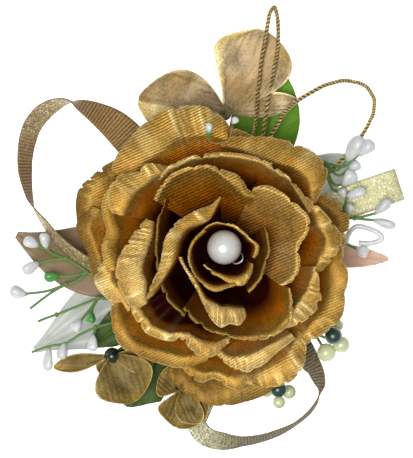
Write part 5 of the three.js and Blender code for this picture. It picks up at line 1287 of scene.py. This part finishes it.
def twisted_metal(name, light, dark, gap_shade):
    """Metallic yarn of the cord: fine filaments along its strands, painted glints on some of them, and
    painted shade in the gaps between the strands.
    """
    yarn = Finish(name)
    weave = yarn.effect("Ribbed weave", Pattern=yarn.pattern, Pitch=0.28, Angle=0.9, Drift=0.3)
    glitter = yarn.effect("Glitter", Place=yarn.pattern, Scale=3.4, Share=0.12)
    colour = yarn.blend(weave["Rib"], dark, light)
    # A few filaments get a painted glint
    colour = yarn.blend(glitter["Spark"], colour, PAINTED_CORD_GLINT)
    colour = yarn.blend(yarn.attribute("tint"), colour, gap_shade)
    gloss = yarn.ranged(weave["Thread"], 0.25, 0.45)
    return yarn.dress(colour, gloss, weave["Height"], 0.7, 0.08, Metallic=0.8)


def moulded(name, pale, deep, roughness=0.3, tinted=None, subsurface=0.0, coat=0.0, grain=700.0):
    """Moulded or painted plastic with slow colour changes; tinted is the colour where the tint is full."""
    plastic = Finish(name)
    clouds = plastic.effect("Mottle", Place=plastic.place, Scale=grain)
    colour = plastic.blend(clouds["Cloud"], deep, pale)
    if tinted:
        colour = plastic.blend(plastic.attribute("tint"), colour, tinted)
    gloss = plastic.ranged(clouds["Grain"], roughness - 0.06, roughness + 0.1)
    return plastic.dress(colour, gloss, clouds["Grain"], 0.25, 0.05, Subsurface_Weight=subsurface,
                         Subsurface_Scale=MM, Coat_Weight=coat)


def pearl_lustre(name):
    """Pearl coating: a soft white that turns cooler towards its rim, under a clear gloss."""
    pearl = Finish(name)
    clouds = pearl.effect("Mottle", Place=pearl.place, Scale=260.0)
    turn = pearl.node("ShaderNodeLayerWeight")
    turn.inputs["Blend"].default_value = 0.35
    colour = pearl.blend(clouds["Cloud"], PEARL_SHADE, PEARL_LIGHT)
    colour = pearl.blend(pearl.product(turn.outputs["Facing"], 0.6), colour, PEARL_RIM)
    return pearl.dress(colour, pearl.ranged(clouds["Grain"], 0.22, 0.3), clouds["Cloud"], 0.1, 0.03,
                       Metallic=0.2, Coat_Weight=0.6, Coat_Roughness=0.06)


def felt(name, pale, deep):
    """Felt: tangled fibres, matt."""
    fibres = Finish(name)
    clouds = fibres.effect("Mottle", Place=fibres.place, Scale=420.0)
    height = fibres.total(clouds["Grain"], clouds["Cloud"])
    return fibres.dress(fibres.blend(clouds["Grain"], deep, pale), fibres.ranged(clouds["Cloud"], 0.85, 1.0),
                        height, 0.9, 0.35, Sheen_Weight=0.4)


def elastic_cloth(name, light, dark):
    """Woven elastic: lengthwise rubber cords under a knitted face."""
    cloth = Finish(name)
    cords = cloth.effect("Ribbed weave", Pattern=cloth.pattern, Pitch=1.3, Angle=math.pi / 2, Drift=0.05)
    knit = cloth.effect("Ribbed weave", Pattern=cloth.pattern, Pitch=0.7, Angle=0.0, Drift=0.1)
    colour = cloth.blend(cloth.product(cords["Rib"], knit["Rib"]), dark, light)
    height = cloth.total(cords["Height"], cloth.product(knit["Height"], 0.6))
    return cloth.dress(colour, cloth.ranged(knit["Thread"], 0.6, 0.85), height, 0.8, 0.25, Sheen_Weight=0.2)


def studio_floor(name, brightness):
    """Pale floor that the camera, and gloss that mirrors it, see nearly white, with the object's shadow."""
    floor = Finish(name)
    floor.shader["Base Color"].default_value = FLOOR_PAINT
    floor.shader["Roughness"].default_value = 0.9
    rays = floor.node("ShaderNodeLightPath").outputs
    seen = floor.math("MAXIMUM", rays["Is Camera Ray"], rays["Is Glossy Ray"])
    seen = floor.math("MAXIMUM", seen, rays["Is Transmission Ray"])
    floor.shader["Emission Color"].default_value = WHITE
    floor.feed(floor.shader["Emission Strength"], floor.product(seen, brightness))
    return floor.material


# Settings


def colour_setting(name, description, default):
    return FloatVectorProperty(name=name, description=description, default=default, subtype="COLOR",
                               size=3, min=0.0, max=1.0)


class RoseSettings(bpy.types.PropertyGroup):
    """Colours and cloth of the rose and the florets."""

    # Edge is painted highlight on frayed edges and ridges; lip, middle, cup and hollow run from the lit lip
    # down into painted shade, and heart is the painted shade round the pearl
    edge: colour_setting("Edge", "Colour of the frayed edges and the ridges", (0.98, 0.78, 0.40))
    lip: colour_setting("Lip", "Colour of a petal's lit lip", (0.36, 0.215, 0.045))
    middle: colour_setting("Middle", "Colour of a petal's upper wall", (0.48, 0.21, 0.018))
    cup: colour_setting("Cup", "Colour inside a petal's cup", (0.57, 0.175, 0.004))
    hollow_shade: colour_setting("Hollow", "Colour at the bottom of a cup", (0.05, 0.004, 0.002))
    heart: colour_setting("Heart", "Colour of the walls round the pearl", (0.26, 0.05, 0.01))
    floret: colour_setting("Floret", "Colour of the satin florets", (0.37, 0.27, 0.155))
    hem: colour_setting("Hem", "Colour of the florets' folded hems", (1.0, 0.84, 0.50))
    low_floret: colour_setting("Lower florets", "Colour of the florets below the rose", (0.27, 0.185, 0.05))
    low_hem: colour_setting("Lower hems", "Colour of the lower florets' rims", (0.58, 0.44, 0.19))
    rib_pitch: FloatProperty(name="Rib pitch", description="Distance between the cloth's ribs, in mm",
                             default=0.82, min=0.3, max=3.0)
    ruffle: FloatProperty(name="Ruffle", description="How strongly the petals' walls and lips ripple",
                          default=1.0, min=0.0, max=2.0, subtype="FACTOR")
    cloth: FloatProperty(name="Cloth", description="Thickness of the petals, in mm", default=0.25, min=0.1,
                         max=0.6)


class SpraySettings(bpy.types.PropertyGroup):
    """Colours of the leaves, ribbons, cords, buds and berries round the rose."""

    bright_leaf: colour_setting("Bright leaf", "Colour of the bright green leaf", (0.17, 0.43, 0.012))
    dark_leaf: colour_setting("Dark leaf", "Colour of the dark green leaves", (0.065, 0.13, 0.014))
    taupe: colour_setting("Taupe satin", "Colour of the left satin leaf", (0.31, 0.20, 0.09))
    peach: colour_setting("Peach satin", "Colour of the right satin leaf", (0.86, 0.56, 0.40))
    sheer: colour_setting("Organza", "Colour of the organza", (0.38, 0.43, 0.35))
    glitter: colour_setting("Glitter", "Colour of the ribbon's glitter", (0.66, 0.50, 0.22))
    pale_glitter: colour_setting("Pale glitter", "Colour of the glitter on the tail and the bottom loop",
                                 (0.72, 0.70, 0.38))
    ribbon_back: colour_setting("Ribbon ribs", "Colour of the ribbon's ribbed stretches", (0.55, 0.32, 0.12))
    shaded_ribs: colour_setting("Shaded ribs", "Colour of the bottom loop's ribs, under the rose",
                                (0.26, 0.20, 0.10))
    cord: colour_setting("Cord", "Colour of the metallic cord", (0.86, 0.62, 0.22))
    bud: colour_setting("Bud", "Colour of the pale buds", (0.80, 0.83, 0.83))
    bud_tip: colour_setting("Green bud", "Colour of the green buds", (0.07, 0.30, 0.06))
    stem: colour_setting("Stem", "Colour of the wrapped stems", (0.135, 0.275, 0.06))
    berry: colour_setting("Berry", "Colour of the pale berries", (0.74, 0.80, 0.46))
    bead: colour_setting("Bead", "Colour of the dark beads", (0.012, 0.07, 0.045))


class BandSettings(bpy.types.PropertyGroup):
    """Colours of the elastic band, the pad and the glue."""

    elastic: colour_setting("Elastic", "Colour of the woven elastic", (0.46, 0.28, 0.10))
    felt: colour_setting("Felt", "Colour of the backing pad", (0.80, 0.77, 0.70))
    glue: colour_setting("Glue", "Colour of the set glue", (0.75, 0.72, 0.62))


class StageSettings(bpy.types.PropertyGroup):
    """Camera and light."""

    distance: FloatProperty(name="Distance", description="Height of the camera over the wrist", default=0.72,
                            min=0.3, max=3.0, unit="LENGTH")
    key: FloatProperty(name="Key light", description="Power of the light over the wrist, in watts",
                       default=3.6, min=0.0, max=50.0)
    fill: FloatProperty(name="Fill", description="Strength of the light from all round", default=0.38,
                        min=0.0, max=3.0)
    floor: FloatProperty(name="Floor", description="How bright the floor looks", default=0.86, min=0.0,
                         max=1.0, subtype="FACTOR")


def opaque(colour):
    return (*colour, 1.0)


def shaded(colour, share):
    return (*(channel * share for channel in colour), 1.0)


def two_tone(colour, share):
    """A colour as it is, and the share of it that is left in the shade."""
    return opaque(colour), shaded(colour, share)


# Operators


class CORSAGE_OT_stage(bpy.types.Operator):
    """Sets the camera over the rose, the studio light and the pale floor"""

    bl_idname = "corsage.stage"
    bl_label = "Camera, light and floor"

    def execute(self, context):
        settings = context.scene.corsage_stage
        lens = bpy.data.cameras.new("camera")
        lens.lens = CAMERA_LENS
        lens.sensor_width = CAMERA_SENSOR
        lens.clip_start = 0.01
        context.scene.camera = add_object("camera", lens, (*CAMERA_PLACE, settings.distance))

        key = bpy.data.lights.new("key", "AREA")
        key.shape = "DISK"
        key.size = KEY_SIZE
        key.energy = settings.key
        lamp = add_object("key", key, KEY_PLACE)
        lamp.rotation_euler = (Vector(KEY_AIM) - lamp.location).to_track_quat("-Z", "Y").to_euler()

        world = bpy.data.worlds.new("studio")
        world.use_nodes = True
        background = world.node_tree.nodes["Background"].inputs
        background["Color"].default_value = WHITE
        background["Strength"].default_value = settings.fill
        context.scene.world = world
        context.scene.view_settings.view_transform = "Standard"

        ground = bmesh.new()
        bmesh.ops.create_grid(ground, x_segments=1, y_segments=1, size=FLOOR_REACH)
        level = CAD_BOX[0][2] - STRETCH - FLOOR_GAP
        bmesh.ops.translate(ground, vec=(0, 0, level), verts=ground.verts)
        data = bpy.data.meshes.new("floor")
        ground.to_mesh(data)
        ground.free()
        data.materials.append(studio_floor("Studio floor", settings.floor))
        add_object("floor", data)
        return {"FINISHED"}


class CORSAGE_OT_cords(bpy.types.Operator):
    """Lays the two loops of twisted metallic cord"""

    bl_idname = "corsage.cords"
    bl_label = "Cord loops"

    def execute(self, context):
        spray = context.scene.corsage_spray
        yarn = twisted_metal("Metallic cord", *two_tone(spray.cord, 0.35), CORD_GAP_SHADE)
        for name, azimuths, rows in CORD_LOOPS:
            start, end = (butt(azimuth, STEM_LEVEL + CLEARANCE) for azimuth in azimuths)
            places = (spray_point((x / CORD_PARTS, y / CORD_PARTS, 3 * z / CORD_PARTS)) for x, y, z in rows)
            route = [start, *places, end]
            length = lengths_along(route_places(route, 200))[-1]
            turns = length / CORD_PITCH

            def crown(turn, t):
                """How near a place on the cord is to the middle of a strand."""
                return abs(math.cos(turn - math.pi * turns * t))

            piece = Piece()
            # The tint paints shade into the grooves between the two strands
            piece.tube(route, CORD / 2, sides=24, steps=round(length * 5),
                       lobes=lambda turn, t: mix(CORD_GROOVE_SHARE, 1, crown(turn, t) ** 0.6),
                       tint=lambda u, v: clamp(2 - 2.8 * crown(2 * math.pi * u, v)))
            made = piece.finish(name + "_yarn", [yarn], replaces=[name])
        return {"FINISHED"}


class CORSAGE_OT_rose(bpy.types.Operator):
    """Makes the rose's seven layers of ruffled petals"""

    bl_idname = "corsage.rose"
    bl_label = "Rose"

    def execute(self, context):
        rose = context.scene.corsage_rose
        cloths = []
        # Two ramps of painted shade: from the lit lip down to the dark hollow, and a darker one for the coil
        # round the pearl
        for label, cup, places in (("Ribbed rose satin", rose.cup, (0.0, 0.2, 0.45, 0.9)),
                                   ("Rose heart satin", rose.heart, (0.0, 0.12, 0.35, 0.8))):
            colours = (rose.lip, rose.middle, cup, rose.hollow_shade)
            stops = [(place, opaque(colour)) for place, colour in zip(places, colours)]
            cloths.append(petal_cloth(label, stops, opaque(rose.edge), pitch=rose.rib_pitch))
        for level, (name, petals) in enumerate(ROSE_LAYERS):
            piece = Piece()
            root_radius = disc_radius(level)
            for number, (lean, rim) in enumerate(petals):
                look = dict(PETAL_LOOKS.get((level, number), {}))
                ribs = look.pop("ribs", 0)
                surface = petal_surface(rim, lean, level, level * 10 + number + 1, rose.ruffle, **look)
                if ribs > STRAIGHT_RIBS:
                    cut = cut_from_above
                else:
                    cut = cut_as_ring(rim, root_radius) if level < OPEN_LAYERS else cut_as_band(rim)
                columns, rows = PETAL_GRID
                piece.grid(surface, (len(rim) - 1) * columns, rows, pattern=cut, ribs=ribs)
            # The disc under each layer takes the hollow's full painted shade
            disc = disc_surface(Vector((0, 0, layer_level(level))), root_radius, ROSE_STEM_RADIUS + CLEARANCE)
            piece.seal(piece.grid(disc, 32, 2), closed=False)
            made = piece.finish(name + "_petals", [cloths["coil" in name]], thickness=rose.cloth,
                                replaces=[name])
        return {"FINISHED"}


class CORSAGE_OT_centre(bpy.types.Operator):
    """Makes the pearl and its thread, and colours the rose's stem"""

    bl_idname = "corsage.centre"
    bl_label = "Pearl and stem"

    def execute(self, context):
        spray = context.scene.corsage_spray
        centre = ROSE_BASE + PEARL_LEVEL_SHARE * ROSE_HEIGHT
        pearl = Piece()
        pearl.ball(Vector((0, 0, centre)), PEARL / 2, around=64, up=40)
        pearl.finish("pearl_bead", [pearl_lustre("Pearl lustre")], replaces=["pearl"])

        low = centre - PEARL / 2 - CLEARANCE - SEAT_HEIGHT - THREAD
        side, reach = ROSE_STEM_RADIUS + CLEARANCE + THREAD / 2, PEARL / 2 + CLEARANCE + THREAD
        rise = PEARL / 4
        places = [polar(-62, side, low), polar(-60, side + rise, low), polar(-55, reach, low + rise),
                  polar(-38, reach + THREAD, low + 2 * rise), polar(-24, reach, low + rise),
                  polar(-20, side + rise, low), polar(-18, side, low)]
        thread = Piece()
        thread.tube(places, THREAD * THREAD_SHARE, sides=16, steps=60)
        clear = moulded("Clear thread", CLEAR_LIGHT, CLEAR_SHADE, roughness=0.15, coat=0.6)
        thread.finish("pearl_thread_loop", [clear], replaces=["pearl_thread"])

        dress_solid("rose_stem", moulded("Wrapped stem", *two_tone(spray.stem, 0.5), roughness=0.6))
        return {"FINISHED"}


class CORSAGE_OT_florets(bpy.types.Operator):
    """Makes the satin florets with their stems and dark centres"""

    bl_idname = "corsage.florets"
    bl_label = "Florets"

    def execute(self, context):
        rose, spray = context.scene.corsage_rose, context.scene.corsage_spray
        stem = moulded("Floret stem", *two_tone(spray.stem, 0.5), roughness=0.6)
        cloths, beads = [], []
        # Each floret satin falls off from its face colour into painted shade towards the hub and in the
        # hollow
        for label, face, shade_share, deep, hem, tone in (
                ("Floret", rose.floret, 0.75, FLORET_SHADE, rose.hem, 1.3),
                ("Lower floret", rose.low_floret, 0.5, LOWER_FLORET_SHADE, rose.low_hem, 0.3)):
            stops = [(0.0, opaque(face)), (0.4, shaded(face, shade_share)), (1.0, opaque(deep))]
            cloths.append(petal_cloth(label + " satin", stops, opaque(hem), contrast=0.0, metallic=0.3))
            beads.append(moulded(label + " bead", shaded(spray.bead, tone), shaded(spray.bead, tone / 3),
                                 roughness=0.15, coat=0.6))
        for number, (name, azimuth, hub_shares, petals) in enumerate(FLORETS):
            hub = spray_point(hub_shares)
            top = number == 0
            piece = Piece()
            for petal, (tip, width, cup, arch, widest, bow, *turned) in enumerate(petals):
                surface = blade_surface(hub, spray_point(tip), width * FLORET_WIDTH, widest=widest, bow=bow,
                                        arch=arch, cup=cup, seed=number * 8 + petal + 40, crinkle=0.8,
                                        hem=0.8, folded=top, turned=turned[0] if turned else FOLD_SHARE)
                piece.grid(surface, *FLORET_GRID)
            # The hub disc takes painted shade, fully on the lower florets and lightly on the top one
            disc = disc_surface(hub, HUB_RADIUS, 0, rise=1.0, depth=0.2 if top else 1.0)
            piece.seal(piece.grid(disc, 24, 4), closed=False)
            made = piece.finish(name + "_petals", [cloths[not top]], thickness=rose.cloth,
                                replaces=[name])

            under = hub - Vector((0, 0, PETAL / 2 + CLEARANCE))
            start = butt(azimuth, STEM_LEVEL)
            turn = Vector((under.x, under.y, mix(start.z, under.z, 0.3))).lerp(start, 0.15)
            stalk = Piece()
            stalk.tube([start, turn, under], STEM / 2, sides=14, steps=48)
            stalk.finish(name + "_stalk", [stem], replaces=[name + "_stem"])
            node = name + "_centre"
            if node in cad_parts:
                low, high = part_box(node)
                centre = Piece()
                reach = (high.x - low.x) / 2 / MM * (TOP_CENTRE_SHARE if top else 1)
                centre.ball((low + high) / 2 / MM, reach, around=28, up=18, squash=0.9)
                centre.finish(node + "_bead", [beads[not top]], replaces=[node])
        return {"FINISHED"}


class CORSAGE_OT_leaves(bpy.types.Operator):
    """Makes the green leaves and the satin leaves"""

    bl_idname = "corsage.leaves"
    bl_label = "Leaves"

    def execute(self, context):
        spray = context.scene.corsage_spray
        bright = leaf_cloth("Bright leaf", *two_tone(spray.bright_leaf, 0.45), BRIGHT_VEIN, 0.45)
        dark = leaf_cloth("Dark leaf", *two_tone(spray.dark_leaf, 0.4), DARK_VEIN, 0.4)
        taupe = satin_cloth("Taupe satin", *two_tone(spray.taupe, 0.6))
        peach = satin_cloth("Peach satin", *two_tone(spray.peach, 0.65))
        cloths = ((bright, "bright_leaf"), (dark, "dark_leaf"), (dark, "dark_leaf"), (taupe, "peach_satin"),
                  (peach, "peach_satin"))
        for number, (leaf, (cloth, slot)) in enumerate(zip(LEAVES, cloths)):
            lay_blade(leaf, LEAF_LEVEL, cloth, slot, LEAF_CLOTH, LEAF_GRID, seed=number + 70, crinkle=0.5,
                      fold=0.8)
        return {"FINISHED"}


class CORSAGE_OT_organza(bpy.types.Operator):
    """Makes the two sheer organza pieces"""

    bl_idname = "corsage.organza"
    bl_label = "Organza"

    def execute(self, context):
        sheer = sheer_cloth("Sheer organza", opaque(context.scene.corsage_spray.sheer), 0.6)
        for number, row in enumerate(ORGANZA_PIECES):
            lay_blade(row, ORGANZA_LEVEL, sheer, "organza", ORGANZA_CLOTH, ORGANZA_GRID, seed=number + 90,
                      crinkle=0.4)
        return {"FINISHED"}


class CORSAGE_OT_ribbons(bpy.types.Operator):
    """Makes the ribbon loops and the ribbon's tail"""

    bl_idname = "corsage.ribbons"
    bl_label = "Ribbons"

    def execute(self, context):
        spray = context.scene.corsage_spray
        ribs = two_tone(spray.ribbon_back, 0.25)
        golden = ribbon_cloth("Metallic ribbon", *two_tone(spray.glitter, 0.3), *ribs)
        lower = ribbon_cloth("Lower metallic ribbon", *two_tone(spray.pale_glitter, 0.3),
                             *two_tone(spray.shaded_ribs, 0.18), metallic=0.1)
        pale = ribbon_cloth("Pale metallic ribbon", *two_tone(spray.pale_glitter, 0.8), *ribs, metallic=0.15)
        edge = satin_cloth("Ribbon selvedge", shaded(spray.ribbon_back, 0.5), shaded(spray.ribbon_back, 0.25))
        for (name, rows, glitter), cloth in zip(RIBBONS, (golden, lower, pale)):
            piece = Piece()
            columns, lines = RIBBON_GRID
            piece.grid(ribbon_surface(rows, glitter), (len(rows) - 1) * columns, lines)
            made = piece.finish(name + "_strip", [cloth, edge], thickness=RIBBON_CLOTH, replaces=[name])
        return {"FINISHED"}


class CORSAGE_OT_buds(bpy.types.Operator):
    """Makes the bud sprays: wires that branch at twisted knots and end in pale buds"""

    bl_idname = "corsage.buds"
    bl_label = "Bud sprays"

    def execute(self, context):
        rose, spray = context.scene.corsage_rose, context.scene.corsage_spray
        wire = moulded("Bud wire", *two_tone(spray.stem, 0.6), roughness=0.5)
        skin = moulded("Bud skin", *two_tone(spray.bud, 0.6), tinted=opaque(spray.bud_tip), subsurface=0.1,
                       coat=0.4)
        golden_wire = moulded("Golden bud wire", *two_tone(rose.lip, 0.6), roughness=0.6)
        for name, azimuth, on_rose, trunk_shares, wires, buds in SPRAYS:
            place_of = rose_point if on_rose else spray_point
            wire_share, green_root = (ROSE_WIRE_SHARE, ROSE_BUD_ROOT) if on_rose else (WIRE_SHARE, BUD_ROOT)
            piece = Piece()
            trunk = [butt(azimuth, STEM_LEVEL), *(place_of(row) for row in trunk_shares)]
            piece.tube(trunk, STEM / 2, steps=12 * len(trunk))
            for number, row in enumerate(wires):
                places = [place_of(place) for place in row]
                white = (name, number) in WHITE_CURLS
                piece.tube(places, BUD_STEM * (CURL_SHARE if white else wire_share), sides=10,
                           steps=10 * len(places), material=1 if white else 0)
            for place in sorted({row[0] for row in wires}):
                piece.ball(place_of(place), KNOT_SHARE * STEM, around=14, up=10)
            for number, (start, tip, size) in enumerate(buds):
                root, point = place_of(start), place_of(tip)
                root = root - (point - root).normalized() * BUD_STEM
                middle = (root + point) / 2 + Vector((0, 0, BUD_ARCH))
                green = 1.0 if (name, number) in GREEN_BUDS else 0.0
                piece.tube([root, middle, point], lambda t: size * BUD / 2 * bud_shape(t), sides=20, steps=22,
                           material=1, tint=lambda u, v: max(green, clamp(green_root - 5 * v)),
                           lobes=lambda turn, t: three_lobed(turn, t, number))
            piece.finish(name + "_buds", [golden_wire if on_rose else wire, skin], replaces=[name])
        return {"FINISHED"}


class CORSAGE_OT_berries(bpy.types.Operator):
    """Makes the berry clusters and the dark beads beside them"""

    bl_idname = "corsage.berries"
    bl_label = "Berries and beads"

    def execute(self, context):
        spray = context.scene.corsage_spray
        wire = moulded("Berry wire", *two_tone(spray.stem, 0.6), roughness=0.5)
        skin = moulded("Berry skin", *two_tone(spray.berry, 0.7), roughness=0.15, subsurface=0.3, coat=0.7,
                       grain=400.0)
        bead = moulded("Dark bead", *two_tone(spray.bead, 0.35), roughness=0.25, coat=0.5, grain=900.0)
        for name, azimuth, trunk_shares, bead_row, joint_offset, berries in BERRIES:
            bead_name, bead_azimuth, (reach, level), bead_size = bead_row
            bead_place = polar(bead_azimuth, reach * ROSE_RADIUS, ROSE_BASE + level * ROSE_HEIGHT)
            joint = bead_place + Vector(joint_offset) * BERRY
            piece = Piece()
            trunk = [butt(azimuth, STEM_LEVEL), *(spray_point(row) for row in trunk_shares), joint]
            piece.tube(trunk, STEM / 2, steps=12 * len(trunk))
            piece.ball(joint, KNOT_SHARE * STEM, around=14, up=10)
            for *offset, size in berries:
                place = bead_place + Vector(offset) * BERRY
                bend = joint.lerp(place, 0.5) - Vector((0, 0, BERRY_SAG))
                piece.tube([joint, bend, place], BUD_STEM / 2, sides=10, steps=20)
                piece.ball(place, size * BERRY / 2, material=1, around=32, up=22, squash=0.94)
            piece.finish(name + "_fruit", [wire, skin], replaces=[name])
            ball = Piece()
            ball.ball(bead_place, bead_size * BERRY / 2, around=40, up=28)
            ball.finish(bead_name + "_ball", [bead], replaces=[bead_name])
        return {"FINISHED"}


class CORSAGE_OT_band(bpy.types.Operator):
    """Makes the elastic band as one woven loop"""

    bl_idname = "corsage.band"
    bl_label = "Elastic band"

    def execute(self, context):
        elastic = elastic_cloth("Woven elastic", *two_tone(context.scene.corsage_band.elastic, 0.5))

        def loop(u, v):
            x, z = band_line(u)
            scallop = PICOT * math.sin(u * 2 * math.pi * PICOTS) * (2 * abs(v - 0.5)) ** 6
            width = BAND_WIDTH - 2 * SELVEDGE_INSET
            return Vector((x, (v - 0.5) * width + scallop * (1 if v > 0.5 else -1), z))

        piece = Piece()
        piece.seal(piece.grid(loop, *BAND_GRID), closed=False)
        made = piece.finish("wrist_band_elastic", [elastic], thickness=BAND_THICKNESS, body=None,
                            replaces=["band_top", "band_lower", "band_side_left", "band_side_right"])
        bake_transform(made)
        return {"FINISHED"}


class CORSAGE_OT_base(bpy.types.Operator):
    """Makes the felt pad and dresses the glue bed"""

    bl_idname = "corsage.base"
    bl_label = "Pad and glue"

    def execute(self, context):
        band = context.scene.corsage_band
        pad = Piece()
        bmesh.ops.create_cone(pad.mesh, cap_ends=True, segments=96, radius1=PAD_RADIUS, radius2=PAD_RADIUS,
                              depth=PAD_THICKNESS)
        rims = [edge for edge in pad.mesh.edges if abs(edge.verts[0].co.z - edge.verts[1].co.z) < 1e-6]
        bmesh.ops.bevel(pad.mesh, geom=rims, offset=PAD_ROUNDING, offset_type="OFFSET", segments=3,
                        profile=0.5, affect="EDGES", material=-1)
        bmesh.ops.translate(pad.mesh, vec=(0, 0, PAD_BOTTOM + PAD_THICKNESS / 2), verts=pad.mesh.verts)
        pad.finish("felt_pad", [felt("Felt", *two_tone(band.felt, 0.7))], replaces=["backing_pad"])
        dress_solid("glue_bed", moulded("Set glue", *two_tone(band.glue, 0.75), roughness=0.35,
                                        subsurface=0.3, grain=250.0))
        return {"FINISHED"}


SETTINGS = {"corsage_rose": RoseSettings, "corsage_spray": SpraySettings, "corsage_band": BandSettings,
            "corsage_stage": StageSettings}
STEPS = (CORSAGE_OT_stage, CORSAGE_OT_cords, CORSAGE_OT_rose, CORSAGE_OT_centre, CORSAGE_OT_florets,
         CORSAGE_OT_leaves, CORSAGE_OT_organza, CORSAGE_OT_ribbons, CORSAGE_OT_buds, CORSAGE_OT_berries,
         CORSAGE_OT_band, CORSAGE_OT_base)


class CORSAGE_PT_panel(bpy.types.Panel):
    """Lists the settings and the steps that make the corsage"""

    bl_idname = "CORSAGE_PT_panel"
    bl_label = "Corsage"
    bl_space_type = "VIEW_3D"
    bl_region_type = "UI"
    bl_category = "Corsage"

    def draw(self, context):
        for group, kind in SETTINGS.items():
            box = self.layout.box()
            box.label(text=kind.__doc__)
            for name in kind.__annotations__:
                box.prop(getattr(context.scene, group), name)
        for step in STEPS:
            self.layout.operator(step.bl_idname)


def register():
    for kind in (*SETTINGS.values(), *STEPS, CORSAGE_PT_panel):
        bpy.utils.register_class(kind)
    for name, kind in SETTINGS.items():
        setattr(bpy.types.Scene, name, PointerProperty(type=kind))


def unregister():
    for name in SETTINGS:
        delattr(bpy.types.Scene, name)
    for kind in (CORSAGE_PT_panel, *reversed(STEPS), *SETTINGS.values()):
        bpy.utils.unregister_class(kind)


def main():
    register()
    make_effects()
    for step in STEPS:
        group, name = step.bl_idname.split(".")
        getattr(getattr(bpy.ops, group), name)()


if __name__ == "__main__":
    main()
